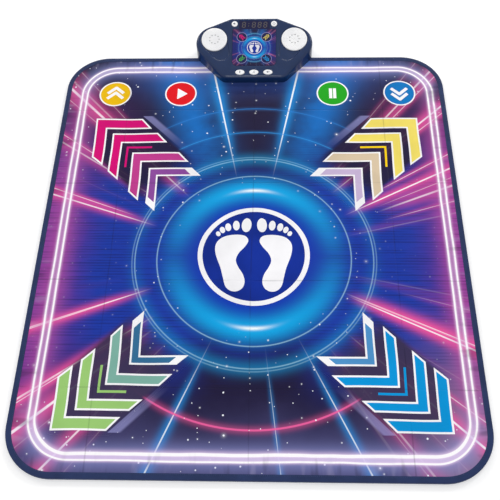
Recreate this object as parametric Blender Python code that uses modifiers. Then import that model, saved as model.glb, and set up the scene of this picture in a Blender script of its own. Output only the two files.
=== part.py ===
"""Electronic dance mat: a layered foot mat with eight pressing zones and a wedge console on its far edge.

Row frame: the origin is the centre of the mat's underside, on the floor. +X runs to the player's right,
+Y from the player's edge towards the console, +Z up. All sizes are in metres.
"""

import math

import bmesh
import bpy
from mathutils import Vector

# The mat, over its binding.
MAT_WIDTH = 0.800
MAT_LENGTH = 0.905
MAT_CORNER_RADIUS = 0.085
ARC_STEP = math.radians(9)

# Clearances: between pieces that rest on each other, and around a piece in a hole.
SEAT_GAP = 0.0003
FIT_GAP = 0.0004

# How far a joined shape sinks into its neighbour, and how far a cutter runs past what it cuts.
SINK = 0.0005
PAST = 0.0050

# Layers of the mat, from the floor up.
BACK_SHEET_THICKNESS = 0.0010
FOAM_THICKNESS = 0.0034
FILM_THICKNESS = 0.0003
TOP_SHEET_THICKNESS = 0.0010
ZONE_TRAVEL = 0.0008
SPACER_THICKNESS = ZONE_TRAVEL - SEAT_GAP

# The tape folded round the edge.
TAPE_THICKNESS = 0.0005
BINDING_WIDTH = 0.0105

# Printed zones: their common centre, their margin from the mat's right edge, and their outlines.
PRINT_CENTRE = (0.0060, -0.0445)
PRINT_MARGIN = 0.0573
ZONE_PROUD = 0.0007
ARROW_INNER = 0.206
ARROW_HALF_WIDTH = 0.0740
ARROW_CORNER_RADIUS = 0.010
ICON_RADIUS = 0.036
ICON_ABOVE_ARROWS = 0.0213
ICON_INNER_X = 0.1606
CONTACT_INSET = 0.010
SPACER_CLEARANCE = 0.0010

# The console: its plan outline, and the slope of its face.
CONSOLE_OVERHANG = 0.0665
CONSOLE_DEPTH = 0.1387
CONSOLE_FRONT_HALF = 0.0665
CONSOLE_REAR_HALF = 0.050
LOBE_CORNER_FROM_SPEAKER = 0.0632
LOBE_CORNER_FROM_REAR = 0.0422
FRONT_CORNER_RADIUS = 0.022
LOBE_RADIUS = 0.0375
REAR_CORNER_RADIUS = 0.008
FACE_TILT = math.radians(14)
FACE_FRONT_HEIGHT = 0.026
FACE_THICKNESS = 0.0042
EDGE_BEVEL = 0.0020
WALL = 0.0022

# Speakers, in the face's own coordinates.
PANEL_TO_SPEAKER = 0.0118
SPEAKER_FROM_REAR = 0.0522
GRILLE_RADIUS = 0.0275
GRILLE_STEPS = 32
GRILLE_FLANGE = 0.0011
GRILLE_PLATE = 0.0020
GRILLE_SKIRT = 0.0020
GRILLE_LIP = 0.0012
GRILLE_EDGE = 0.0005
GRILLE_HOLE_RADIUS = 0.0011
GRILLE_RING_STEP = 0.0060
GRILLE_RINGS = 3
POCKET_DEPTH = 0.0018
POCKET_MARGIN = 0.0030
POCKET_LOW_INBOARD = 0.0151
POCKET_LOW_DROP = 0.0332
POCKET_LOW_RADIUS = 0.0200
DRIVER_RADIUS = 0.0255
DRIVER_DEPTH = 0.0160
MAGNET_RADIUS = 0.014
MAGNET_DEPTH = 0.0061
WIRE_FROM_AXIS = 0.006

# Screen panel, display and lights, in the face's own coordinates.
PANEL_HALF_WIDTH = 0.0468
PANEL_FRONT_Y = 0.0262
PANEL_SHOULDER_FROM_REAR = 0.0281
PANEL_FROM_REAR = 0.0074
PANEL_TAB_HALF = 0.0330
PANEL_THICKNESS = 0.0012
PANEL_LEDGE = 0.0025
PANEL_CORNER_RADIUS = 0.010
PANEL_SHOULDER_RADIUS = 0.002
DISPLAY_FROM_REAR = 0.0179
DISPLAY_HALF_WIDTH = 0.0275
DISPLAY_HALF_HEIGHT = 0.0075
LIGHT_X = 0.0264
LIGHT_FROM_PANEL_FRONT = 0.0167
LIGHT_FROM_SHOULDER = 0.0198
LIGHT_RADIUS = 0.0025
LIGHT_HEIGHT = 0.0060

# Buttons, in the face's own coordinates.
BUTTON_TRAVEL = 0.0010
BUTTON_PROUD = 0.0015
BUTTON_FLANGE_WIDTH = 0.0015
BUTTON_FLANGE_THICKNESS = 0.0016
ROUND_BUTTON_RADIUS = 0.0070
ROUND_BUTTON_X = 0.0426
ROUND_BUTTON_FROM_REAR = 0.0159
OVAL_BUTTON_RADII = (0.0101, 0.0062)
OVAL_BUTTON_PITCH = 0.0297
OVAL_BUTTON_Y = 0.0106
BUTTON_STEPS = 20

# Circuit board under the face.
BOARD_DEPTH = 0.0120
BOARD_THICKNESS = 0.0016
BOARD_PAST_PANEL = 0.0002
BOARD_FRONT_Y = 0.006
BOARD_FROM_REAR = 0.0119
SWITCH_SIDE = 0.0060
SWITCH_HEIGHT = 0.0035
PLUNGER_RADIUS = 0.0017

# Posts that hold the board under the face, and their pins through it.
POST_FROM_BOARD_SIDE = 0.0050
POST_FRONT_Y = 0.0223
POST_FROM_REAR = 0.0275
POST_RADIUS = 0.0022
POST_PIN_RADIUS = 0.0010
POST_PIN_LENGTH = 0.0030

# Bottom case.
FLOOR_THICKNESS = 0.0030
SHELF_THICKNESS = 0.0020
TRAY_WALL = 0.0018

# Batteries, their contacts and their door.
CELL_COUNT = 3
CELL_RADIUS = 0.0071
CELL_LENGTH = 0.0490
CELL_EDGE = 0.0008
CELL_NUB_RADIUS = 0.0027
CELL_NUB_LENGTH = 0.0013
CELL_PITCH = 2 * CELL_RADIUS + 0.0006
SPRING_ROOM = 0.0055
SPRING_WIRE_RADIUS = 0.0004
SPRING_WIDE_RADIUS = 0.0042
SPRING_NARROW_RADIUS = 0.0028
SPRING_TURNS = 3
SPRING_STEPS = 8
CONTACT_PLATE_THICKNESS = 0.0005
DOOR_THICKNESS = 0.0015
DOOR_CLEAR_OF_FLOOR = 0.0002
DOOR_LEDGE = 0.0020
DOOR_TONGUE = 0.0075
HINGE_PIN_RADIUS = 0.00045
HINGE_PIN_LENGTH = 0.0010
BAY_FROM_EDGE = 0.0065
BAY_WALL = 0.0016
BAY_DEPTH = CELL_PITCH * (CELL_COUNT - 1) + 2 * CELL_RADIUS + 0.0012
BAY_HALF_WIDTH = (CELL_LENGTH + CELL_NUB_LENGTH + SPRING_ROOM) / 2 + CONTACT_PLATE_THICKNESS + 2 * SEAT_GAP
REBATE_DEPTH = DOOR_CLEAR_OF_FLOOR + DOOR_THICKNESS + SEAT_GAP
BAY_HEIGHT = REBATE_DEPTH + 2 * CELL_RADIUS + FIT_GAP

# Screws, as (head radius, head height, shank radius).
CASE_SCREW = (0.0028, 0.0017, 0.0012)
CLAMP_SCREW = (0.0027, 0.0010, 0.0013)
DOOR_SCREW = (0.0025, 0.0007, 0.0013)
SCREW_STEPS = 16
CASE_SCREW_LENGTH = 0.018
CLAMP_SCREW_LENGTH = 0.0135
DOOR_SCREW_LENGTH = 0.0050
PILOT_CLEARANCE = 0.00015
HEAD_CLEARANCE = 0.0004
BOSS_RADIUS = 0.0035
BOSS_CAP = 0.0015
TOP_BOSS_BORE = 0.0140
FRONT_BOSS_TO_DRIVER = 0.0046
FRONT_BOSS_FROM_STEP = 0.0085
REAR_BOSS_X = 0.0565
REAR_BOSS_FROM_REAR = 0.0161
CLAMP_SCREW_X = 0.052
CLAMP_FROM_FRONT = 0.0255
CLAMP_BAR_HALF_WIDTH = 0.0080
CLAMP_BAR_OVERHANG = 0.012
CLAMP_BAR_THICKNESS = 0.0022

# Flat tail from the sensor films to the board, and the loose wires.
TAIL_WIDTH = 0.020
TAIL_FROM_EDGE = 0.0192
TAIL_FOOT = 0.008
TAIL_BEND = 0.0015
TAIL_BEND_STEPS = 4
TAIL_SLOT = 0.0030
CONNECTOR_HEIGHT = 0.0050
CONNECTOR_HALF_DEPTH = 0.0030
CONNECTOR_SIDE = 0.0015
WIRE_RADIUS = 0.0006
WIRE_SLACK = 0.0012
WIRE_STEPS = 5
WIRE_START_BELOW_BAY_TOP = 0.0030


def clear_scene():
    """Removes whatever the file held before."""
    for obj in list(bpy.data.objects):
        bpy.data.objects.remove(obj, do_unlink=True)


clear_scene()
PARTS = bpy.data.collections.new("dance_mat")
CUTTERS = bpy.data.collections.new("cutters")
CUTTERS.hide_render = True
bpy.context.scene.collection.children.link(PARTS)
bpy.context.scene.collection.children.link(CUTTERS)


def finish(name, colour, roughness, metallic=0.0):
    """A Principled material with one colour."""
    material = bpy.data.materials.new(name)
    material.use_nodes = True
    shader = material.node_tree.nodes["Principled BSDF"]
    shader.inputs["Base Color"].default_value = (*colour, 1.0)
    shader.inputs["Roughness"].default_value = roughness
    shader.inputs["Metallic"].default_value = metallic
    return material


NAVY_PLASTIC = finish("navy_plastic", (0.030, 0.048, 0.110), 0.38)
NAVY_TAPE = finish("navy_tape", (0.030, 0.050, 0.130), 0.80)
WHITE_PLASTIC = finish("white_plastic", (0.85, 0.85, 0.87), 0.40)
PRINTED_VINYL = finish("printed_vinyl", (0.055, 0.070, 0.360), 0.35)
BACKING = finish("backing_cloth", (0.030, 0.032, 0.040), 0.90)
FOAM = finish("foam", (0.75, 0.75, 0.72), 0.95)
FILM = finish("sensor_film", (0.55, 0.62, 0.66), 0.30)
CARBON = finish("carbon_contact", (0.035, 0.035, 0.038), 0.55)
SCREEN = finish("screen_acrylic", (0.035, 0.030, 0.120), 0.12)
BOARD = finish("circuit_board", (0.020, 0.160, 0.060), 0.45)
DISPLAY = finish("display_body", (0.030, 0.030, 0.034), 0.50)
STEEL = finish("steel", (0.62, 0.63, 0.65), 0.28, 1.0)
DRIVER = finish("speaker_driver", (0.060, 0.060, 0.065), 0.60)
CELL = finish("battery_cell", (0.28, 0.30, 0.33), 0.35, 0.6)
RED_WIRE = finish("red_wire", (0.55, 0.03, 0.03), 0.50)
BLACK_WIRE = finish("black_wire", (0.02, 0.02, 0.02), 0.50)
ZONE_FINISHES = {
    "pink": finish("print_pink", (0.80, 0.005, 0.215), 0.35),
    "yellow": finish("print_yellow", (0.90, 0.69, 0.075), 0.35),
    "green": finish("print_green", (0.25, 0.61, 0.110), 0.35),
    "blue": finish("print_blue", (0.010, 0.300, 0.700), 0.35),
    "up": finish("print_amber", (0.90, 0.53, 0.020), 0.35),
    "play": finish("print_red", (0.75, 0.010, 0.020), 0.35),
    "pause": finish("print_leaf", (0.030, 0.420, 0.060), 0.35),
    "down": finish("print_azure", (0.010, 0.210, 0.600), 0.35),
}


def layer_levels(*thicknesses):
    """(low, high) of each layer, from the floor up, with a seat gap between neighbours."""
    levels = []
    low = 0.0
    for thickness in thicknesses:
        levels.append((low, low + thickness))
        low += thickness + SEAT_GAP
    return levels


BACK_Z, FOAM_Z, LOWER_FILM_Z, SPACER_Z, UPPER_FILM_Z, TOP_SHEET_Z = layer_levels(
    BACK_SHEET_THICKNESS,
    FOAM_THICKNESS,
    FILM_THICKNESS,
    SPACER_THICKNESS,
    FILM_THICKNESS,
    TOP_SHEET_THICKNESS,
)
MAT_TOP = TOP_SHEET_Z[1]
BINDING_TOP = MAT_TOP + SEAT_GAP + TAPE_THICKNESS
MAT_FAR_Y = MAT_LENGTH / 2
CONSOLE_REAR_Y = MAT_FAR_Y + CONSOLE_OVERHANG
CONSOLE_FRONT_Y = CONSOLE_REAR_Y - CONSOLE_DEPTH
STEP_Y = MAT_FAR_Y + FIT_GAP
SHELF_LOW = BINDING_TOP + SEAT_GAP
SHELF_TOP = SHELF_LOW + SHELF_THICKNESS
TAIL_Y = MAT_FAR_Y - TAIL_FROM_EDGE

# How far the zones reach from their centre towards each side, and the icons' row.
PRINT_REACH = MAT_WIDTH / 2 - PRINT_CENTRE[0] - PRINT_MARGIN
ARROW_APEX = math.sqrt(2) * PRINT_REACH
ICON_OUTER_X = PRINT_REACH - ICON_RADIUS
ICON_ROW_Y = PRINT_CENTRE[1] + PRINT_REACH + ICON_ABOVE_ARROWS + ICON_RADIUS

# Places on the console's face, from the distances to its rear edge and to the panel.
FACE_LENGTH = CONSOLE_DEPTH / math.cos(FACE_TILT)
PANEL_SHOULDER_Y = FACE_LENGTH - PANEL_SHOULDER_FROM_REAR
PANEL_REAR_Y = FACE_LENGTH - PANEL_FROM_REAR
DISPLAY_Y = FACE_LENGTH - DISPLAY_FROM_REAR
LIGHT_ROWS_Y = (PANEL_FRONT_Y + LIGHT_FROM_PANEL_FRONT, PANEL_SHOULDER_Y - LIGHT_FROM_SHOULDER)
ROUND_BUTTON_Y = FACE_LENGTH - ROUND_BUTTON_FROM_REAR
SPEAKER_X = PANEL_HALF_WIDTH + PANEL_TO_SPEAKER + GRILLE_RADIUS
SPEAKER_Y = FACE_LENGTH - SPEAKER_FROM_REAR
LOBE_CORNER_X = SPEAKER_X + LOBE_CORNER_FROM_SPEAKER
BOARD_HALF_WIDTH = PANEL_HALF_WIDTH + BOARD_PAST_PANEL
BOARD_REAR_Y = FACE_LENGTH - BOARD_FROM_REAR
POST_X = BOARD_HALF_WIDTH - POST_FROM_BOARD_SIDE
POST_ROWS_Y = (POST_FRONT_Y, FACE_LENGTH - POST_FROM_REAR)


# Outlines, as lists of (x, y) that run anticlockwise.


def circle(centre, radius, steps):
    """A regular polygon that stands for a circle."""
    angles = [2 * math.pi * i / steps for i in range(steps)]
    return [(centre[0] + radius * math.cos(angle), centre[1] + radius * math.sin(angle)) for angle in angles]


def ellipse(radii, grow, steps):
    """An ellipse about the origin, grown by the same width all round."""
    wide, tall = radii[0] + grow, radii[1] + grow
    angles = [2 * math.pi * i / steps for i in range(steps)]
    return [(wide * math.cos(angle), tall * math.sin(angle)) for angle in angles]


def rectangle(low_x, low_y, high_x, high_y):
    """The corners of a rectangle."""
    return [(low_x, low_y), (high_x, low_y), (high_x, high_y), (low_x, high_y)]


def inset_corners(corners, inset):
    """The corners of a convex polygon whose sides all move inwards by inset."""
    moved = []
    for i, corner in enumerate(corners):
        here = Vector(corner)
        before = (here - Vector(corners[i - 1])).normalized()
        after = (Vector(corners[(i + 1) % len(corners)]) - here).normalized()
        normal_before = Vector((-before.y, before.x))
        normal_after = Vector((-after.y, after.x))
        bisector = (normal_before + normal_after).normalized()
        moved.append(here + bisector * (inset / bisector.dot(normal_after)))
    return moved


def rounded(corners, radii, inset=0.0, arc_step=ARC_STEP):
    """A convex polygon with an arc at each corner, moved inwards by inset."""
    points = []
    moved = inset_corners(corners, inset)
    for i, here in enumerate(moved):
        before = (here - moved[i - 1]).normalized()
        after = (moved[(i + 1) % len(moved)] - here).normalized()
        turn = before.angle(after)
        radius = max(radii[i] - inset, 0.0002)
        start = here - before * (radius * math.tan(turn / 2))
        centre = start + Vector((-before.y, before.x)) * radius
        spoke = start - centre
        steps = math.ceil(turn / arc_step)
        for step in range(steps + 1):
            angle = turn * step / steps
            points += moved_points(turned_points([spoke], angle), centre)
    return points


def two_circle_hull(first, first_radius, second, second_radius, steps):
    """The outline round two circles, as a belt round two pulleys. The first is the larger or equal one."""
    apart = Vector(second) - Vector(first)
    along = math.atan2(apart.y, apart.x)
    wrap = math.acos((first_radius - second_radius) / apart.length)
    spans = ((first, first_radius, wrap, 2 * math.pi - 2 * wrap), (second, second_radius, -wrap, 2 * wrap))
    points = []
    for centre, radius, start, turn in spans:
        for i in range(steps + 1):
            angle = along + start + turn * i / steps
            points.append((centre[0] + radius * math.cos(angle), centre[1] + radius * math.sin(angle)))
    return points


def turned_points(points, angle):
    """Points turned about the origin."""
    cos, sin = math.cos(angle), math.sin(angle)
    return [(x * cos - y * sin, x * sin + y * cos) for x, y in points]


def moved_points(points, offset):
    """Points moved by an offset."""
    return [(x + offset[0], y + offset[1]) for x, y in points]


def mat_outline(inset):
    """The mat's rounded rectangle."""
    corners = rectangle(-MAT_WIDTH / 2, -MAT_LENGTH / 2, MAT_WIDTH / 2, MAT_LENGTH / 2)
    return rounded(corners, [MAT_CORNER_RADIUS] * 4, inset)


def console_outline(inset):
    """The console in plan: a narrow front, two lobes round the speakers and a short straight rear."""
    lobe_y = CONSOLE_REAR_Y - LOBE_CORNER_FROM_REAR
    corners = [
        (-CONSOLE_FRONT_HALF, CONSOLE_FRONT_Y),
        (CONSOLE_FRONT_HALF, CONSOLE_FRONT_Y),
        (LOBE_CORNER_X, lobe_y),
        (CONSOLE_REAR_HALF, CONSOLE_REAR_Y),
        (-CONSOLE_REAR_HALF, CONSOLE_REAR_Y),
        (-LOBE_CORNER_X, lobe_y),
    ]
    radii = [
        FRONT_CORNER_RADIUS,
        FRONT_CORNER_RADIUS,
        LOBE_RADIUS,
        REAR_CORNER_RADIUS,
        REAR_CORNER_RADIUS,
        LOBE_RADIUS,
    ]
    return rounded(corners, radii, inset)


def arrow_zone(side_x, side_y):
    """A zone round four chevrons, as its place and its outline: a house shape that points to a corner."""
    middle = (ARROW_INNER + ARROW_APEX) / 2
    low, high = ARROW_INNER - middle, ARROW_APEX - middle
    shoulder = high - ARROW_HALF_WIDTH
    corners = [
        (low, -ARROW_HALF_WIDTH),
        (shoulder, -ARROW_HALF_WIDTH),
        (high, 0.0),
        (shoulder, ARROW_HALF_WIDTH),
        (low, ARROW_HALF_WIDTH),
    ]
    angle = math.atan2(side_y, side_x)
    place = (PRINT_CENTRE[0] + middle * math.cos(angle), PRINT_CENTRE[1] + middle * math.sin(angle))

    def outline(grow):
        shape = rounded(corners, [ARROW_CORNER_RADIUS] * len(corners), -grow, math.radians(30))
        return turned_points(shape, angle)

    return place, outline


def icon_zone(x):
    """A round zone in the row of icons, as its place and its outline."""
    return (PRINT_CENTRE[0] + x, ICON_ROW_Y), lambda grow: circle((0.0, 0.0), ICON_RADIUS + grow, 24)


ZONES = {
    "arrow_pad_pink": arrow_zone(-1, 1),
    "arrow_pad_yellow": arrow_zone(1, 1),
    "arrow_pad_green": arrow_zone(-1, -1),
    "arrow_pad_blue": arrow_zone(1, -1),
    "icon_pad_up": icon_zone(-ICON_OUTER_X),
    "icon_pad_play": icon_zone(-ICON_INNER_X),
    "icon_pad_pause": icon_zone(ICON_INNER_X),
    "icon_pad_down": icon_zone(ICON_OUTER_X),
}


def zone_holes(grow):
    """The zones' outlines in their places on the mat."""
    return [moved_points(outline(grow), place) for place, outline in ZONES.values()]


# Solids.


def as_mesh(guide, name, material, collection):
    """A mesh object in place of a curve, with its caps welded."""
    bpy.context.view_layer.update()
    evaluated = guide.evaluated_get(bpy.context.evaluated_depsgraph_get())
    mesh = bpy.data.meshes.new_from_object(evaluated)
    shape = bmesh.new()
    shape.from_mesh(mesh)
    bmesh.ops.remove_doubles(shape, verts=shape.verts, dist=1e-6)
    bmesh.ops.recalc_face_normals(shape, faces=shape.faces)
    shape.to_mesh(mesh)
    shape.free()
    return replace_guide(guide, mesh, name, material, collection)


def replace_guide(guide, mesh, name, material, collection):
    """Puts a mesh object where the guide was, and removes the guide."""
    obj = bpy.data.objects.new(name, mesh)
    obj.parent = guide.parent
    obj.matrix_world = guide.matrix_world.copy()
    collection.objects.link(obj)
    bpy.data.objects.remove(guide, do_unlink=True)
    dress(obj, material)
    return obj


def dress(obj, material):
    """Gives a mesh object its material and smooth round sides."""
    if material:
        obj.data.materials.clear()
        obj.data.materials.append(material)
    obj.data.shade_smooth()
    obj.data.set_sharp_from_angle(angle=math.radians(30))


def as_cutter(obj):
    """Hides a helper shape from the build and from renders."""
    obj.hide_render = True
    obj.display_type = "WIRE"
    return obj


def flat(name, outlines, low, high, material=None, frame=None, place=(0.0, 0.0)):
    """A flat piece between two heights, with holes where outlines lie inside the first.

    With no material it is a cutter.
    """
    collection = PARTS if material else CUTTERS
    curve = bpy.data.curves.new(name, "CURVE")
    curve.dimensions = "2D"
    curve.fill_mode = "BOTH"
    curve.extrude = (high - low) / 2
    for outline in outlines:
        spline = curve.splines.new("POLY")
        spline.points.add(len(outline) - 1)
        for point, (x, y) in zip(spline.points, outline):
            point.co = (x, y, 0.0, 1.0)
        spline.use_cyclic_u = True
    guide = bpy.data.objects.new(name + "_guide", curve)
    guide.parent = frame
    guide.location = (*place, (low + high) / 2)
    collection.objects.link(guide)
    obj = as_mesh(guide, name, material, collection)
    return obj if material else as_cutter(obj)


def placed(name, shape, location, material, frame):
    """A mesh object from a bmesh, at its location in its frame."""
    mesh = bpy.data.meshes.new(name)
    shape.to_mesh(mesh)
    shape.free()
    obj = bpy.data.objects.new(name, mesh)
    obj.parent = frame
    obj.location = location
    (PARTS if material else CUTTERS).objects.link(obj)
    if material:
        dress(obj, material)
        return obj
    return as_cutter(obj)


def box(name, low, high, material=None, frame=None):
    """A box between two corners. With no material it is a cutter."""
    shape = bmesh.new()
    bmesh.ops.create_cube(shape, size=1.0)
    size = [b - a for a, b in zip(low, high)]
    bmesh.ops.scale(shape, vec=size, verts=shape.verts)
    return placed(name, shape, [(a + b) / 2 for a, b in zip(low, high)], material, frame)


def cylinder(name, centre, radius, low, high, material=None, frame=None, steps=SCREW_STEPS):
    """An upright cylinder between two heights. With no material it is a cutter."""
    shape = bmesh.new()
    bmesh.ops.create_cone(
        shape, cap_ends=True, segments=steps, radius1=radius, radius2=radius, depth=high - low
    )
    return placed(name, shape, (centre[0], centre[1], (low + high) / 2), material, frame)


def turned(name, profile, material, frame=None, location=(0, 0, 0), rotation=(0, 0, 0), steps=24):
    """A turned piece. The profile is (radius, height) points from the top of the axis, down the outside."""
    mesh = bpy.data.meshes.new(name)
    mesh.from_pydata([(r, 0.0, z) for r, z in profile], [(i, i + 1) for i in range(len(profile) - 1)], [])
    obj = bpy.data.objects.new(name, mesh)
    obj.parent = frame
    obj.location = location
    obj.rotation_euler = rotation
    (PARTS if material else CUTTERS).objects.link(obj)
    screw = obj.modifiers.new("turn", "SCREW")
    screw.axis = "Z"
    screw.steps = steps
    screw.render_steps = steps
    screw.use_merge_vertices = True
    screw.merge_threshold = 0.00001
    if material:
        mesh.materials.append(material)
        return obj
    return as_cutter(obj)


def tube(name, points, radius, material=None, frame=None):
    """A round wire through the points. With no material it is a hidden shape to be joined to another."""
    curve = bpy.data.curves.new(name, "CURVE")
    curve.dimensions = "3D"
    curve.bevel_depth = radius
    curve.bevel_resolution = 1
    curve.use_fill_caps = True
    spline = curve.splines.new("POLY")
    spline.points.add(len(points) - 1)
    for point, place in zip(spline.points, points):
        point.co = (*place, 1.0)
    guide = bpy.data.objects.new(name + "_guide", curve)
    guide.parent = frame
    collection = PARTS if material else CUTTERS
    collection.objects.link(guide)
    obj = as_mesh(guide, name, material, collection)
    return obj if material else as_cutter(obj)


def smooth_route(route, steps):
    """Points on a Catmull-Rom curve through the route."""
    ends = [Vector(p) for p in route]
    ends = [2 * ends[0] - ends[1], *ends, 2 * ends[-1] - ends[-2]]
    points = []
    for a, b, c, d in zip(ends, ends[1:], ends[2:], ends[3:]):
        for step in range(steps):
            t = step / steps
            bend = (2 * a - 5 * b + 4 * c - d) * t**2 + (3 * b - a - 3 * c + d) * t**3
            points.append(0.5 * (2 * b + (c - a) * t + bend))
    points.append(ends[-2])
    return points


def boolean(target, tool, operation):
    """Cuts the tool from the target, or joins it on."""
    modifier = target.modifiers.new(f"{operation.lower()} {tool.name}", "BOOLEAN")
    modifier.operation = operation
    modifier.object = tool
    return target


def cut(target, *tools):
    """Cuts each tool from the target."""
    for tool in tools:
        boolean(target, tool, "DIFFERENCE")
    return target


def join(target, *tools):
    """Joins each tool to the target, as one body."""
    for tool in tools:
        boolean(target, tool, "UNION")
    return target


# The mat.


def clamp_points():
    """Where the three clamp screws pass through the mat."""
    y = CONSOLE_FRONT_Y + CLAMP_FROM_FRONT
    return [(-CLAMP_SCREW_X, y), (0.0, y), (CLAMP_SCREW_X, y)]


def clamp_holes():
    """Holes through a layer for the clamp screws."""
    radius = CLAMP_SCREW[2] + SPACER_CLEARANCE
    return [circle(point, radius, 8) for point in clamp_points()]


def clamp_bar_outline(grow):
    """The bar under the mat that the clamp screws pull on."""
    y = CONSOLE_FRONT_Y + CLAMP_FROM_FRONT
    half = CLAMP_SCREW_X + CLAMP_BAR_OVERHANG + grow
    return rectangle(-half, y - CLAMP_BAR_HALF_WIDTH - grow, half, y + CLAMP_BAR_HALF_WIDTH + grow)


def tail_slot(front, rear):
    """A slot for the sensor tail, reaching front and rear of its riser."""
    half = TAIL_WIDTH / 2 + SPACER_CLEARANCE
    return rectangle(-half, TAIL_Y - front, half, TAIL_Y + rear)


def make_mat_layers():
    """The layers from the back sheet up to the printed sheet."""
    core = TAPE_THICKNESS + SEAT_GAP
    narrow_slot = tail_slot(TAIL_SLOT / 2, TAIL_SLOT / 2)
    flat(
        "back_sheet",
        [mat_outline(BINDING_WIDTH + FIT_GAP), clamp_bar_outline(FIT_GAP)],
        *BACK_Z,
        BACKING,
    )
    foam = flat("foam_core", [mat_outline(core), *clamp_holes()], *FOAM_Z, FOAM)
    pocket_top = SEAT_GAP + CLAMP_BAR_THICKNESS + SEAT_GAP
    cut(foam, flat("clamp_pocket", [clamp_bar_outline(FIT_GAP)], 0.0, pocket_top))
    flat("sensor_film_lower", [mat_outline(core), *clamp_holes()], *LOWER_FILM_Z, FILM)
    spacer_holes = zone_holes(SPACER_CLEARANCE - CONTACT_INSET)
    wide_slot = tail_slot(TAIL_FOOT + SPACER_CLEARANCE, TAIL_SLOT / 2)
    flat("sensor_spacer", [mat_outline(core), *spacer_holes, *clamp_holes(), wide_slot], *SPACER_Z, FILM)
    open_outlines = [mat_outline(core), *zone_holes(FIT_GAP), *clamp_holes(), narrow_slot]
    flat("sensor_film_upper", open_outlines, *UPPER_FILM_Z, FILM)
    flat("top_sheet", open_outlines, *TOP_SHEET_Z, PRINTED_VINYL)


def make_binding():
    """The tape folded over the edge, a channel that opens inwards."""
    outlines = [mat_outline(0.0), mat_outline(BINDING_WIDTH)]
    binding = flat("edge_binding", outlines, 0.0, BINDING_TOP, NAVY_TAPE)
    groove = flat(
        "binding_groove",
        [mat_outline(TAPE_THICKNESS), mat_outline(2 * BINDING_WIDTH)],
        TAPE_THICKNESS,
        MAT_TOP + SEAT_GAP,
    )
    cut(binding, groove)


def make_zones():
    """The pressing zones of the printed sheet, each with its contact on the film below."""
    for name, (place, outline) in ZONES.items():
        material = ZONE_FINISHES[name.split("_")[-1]]
        flat(name, [outline(0.0)], TOP_SHEET_Z[0], MAT_TOP + ZONE_PROUD, material, place=place)
        flat(name.replace("pad", "contact"), [outline(-CONTACT_INSET)], *UPPER_FILM_Z, CARBON, place=place)


def make_clamp_bar():
    """The bar in the underside, with a counterbore for each screw."""
    low, high = SEAT_GAP, SEAT_GAP + CLAMP_BAR_THICKNESS
    bar = flat("mat_clamp_bar", [clamp_bar_outline(0.0)], low, high, NAVY_PLASTIC)
    head_radius, head_height, shank_radius = CLAMP_SCREW
    head_low = low + SEAT_GAP
    sink_top = head_low + head_height + SEAT_GAP
    for i, point in enumerate(clamp_points()):
        cut(
            bar,
            cylinder(f"clamp_sink_{i}", point, head_radius + HEAD_CLEARANCE, -PAST, sink_top),
            cylinder(f"clamp_bore_{i}", point, shank_radius + HEAD_CLEARANCE, -PAST, PAST),
        )
        screw(f"clamp_screw_{i + 1}", point, head_low, CLAMP_SCREW, CLAMP_SCREW_LENGTH)


def screw(name, place, head_low, kind, length, frame=None):
    """A screw that stands on its head, with a cross socket in it."""
    head_radius, head_height, shank_radius = kind
    tip = head_low + head_height + length
    profile = [
        (0.0, tip),
        (shank_radius * 0.5, tip),
        (shank_radius, tip - shank_radius * 1.5),
        (shank_radius, head_low + head_height),
        (head_radius, head_low + head_height),
        (head_radius, head_low + head_height * 0.3),
        (head_radius * 0.8, head_low),
        (0.0, head_low),
    ]
    body = turned(name, profile, STEEL, frame, (*place, 0.0), steps=SCREW_STEPS)
    arm, half = head_radius * 0.6, head_radius * 0.14
    depth = head_low + head_height * 0.5
    for label, size in (("x", (arm, half)), ("y", (half, arm))):
        low = (place[0] - size[0], place[1] - size[1], head_low - PAST)
        high = (place[0] + size[0], place[1] + size[1], depth)
        cut(body, box(f"{name}_slot_{label}", low, high, frame=frame))
    return body


# The console's shells.


def face_height(y):
    """How high the console's face is above the floor at a world Y."""
    return FACE_FRONT_HEIGHT + math.tan(FACE_TILT) * (y - CONSOLE_FRONT_Y)


def wedge(name, inset, low, depth, material=None, bevel=0.0):
    """The console's outline, upright from one height to a plane at a depth below the face."""
    body = flat(name, [console_outline(inset)], low, FACE_FRONT_HEIGHT, material)
    shape = bmesh.new()
    shape.from_mesh(body.data)
    bmesh.ops.dissolve_limit(shape, angle_limit=math.radians(1), verts=shape.verts, edges=shape.edges)
    lift = body.location.z
    top = [v for v in shape.verts if v.co.z > 0]
    for vertex in top:
        vertex.co.z = face_height(vertex.co.y) - depth / math.cos(FACE_TILT) - lift
    if bevel:
        rim = [e for e in shape.edges if all(v in top for v in e.verts)]
        bmesh.ops.bevel(shape, geom=rim, offset=bevel, segments=2, profile=0.5, affect="EDGES")
    bmesh.ops.recalc_face_normals(shape, faces=shape.faces)
    shape.to_mesh(body.data)
    shape.free()
    return body


def face_frame():
    """An empty at the middle of the face's front edge. Its XY plane is the face."""
    frame = bpy.data.objects.new("console_face", None)
    frame.location = (0.0, CONSOLE_FRONT_Y, FACE_FRONT_HEIGHT)
    frame.rotation_euler = (FACE_TILT, 0.0, 0.0)
    PARTS.objects.link(frame)
    return frame


def case_boss_points():
    """Where the case screws stand: (x, y) in the row frame, on both sides."""
    front_x = SPEAKER_X - DRIVER_RADIUS - BOSS_RADIUS - FRONT_BOSS_TO_DRIVER
    front = (front_x, STEP_Y + FRONT_BOSS_FROM_STEP)
    rear = (REAR_BOSS_X, CONSOLE_REAR_Y - REAR_BOSS_FROM_REAR)
    return [(side * x, y) for x, y in (front, rear) for side in (-1, 1)]


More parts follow.
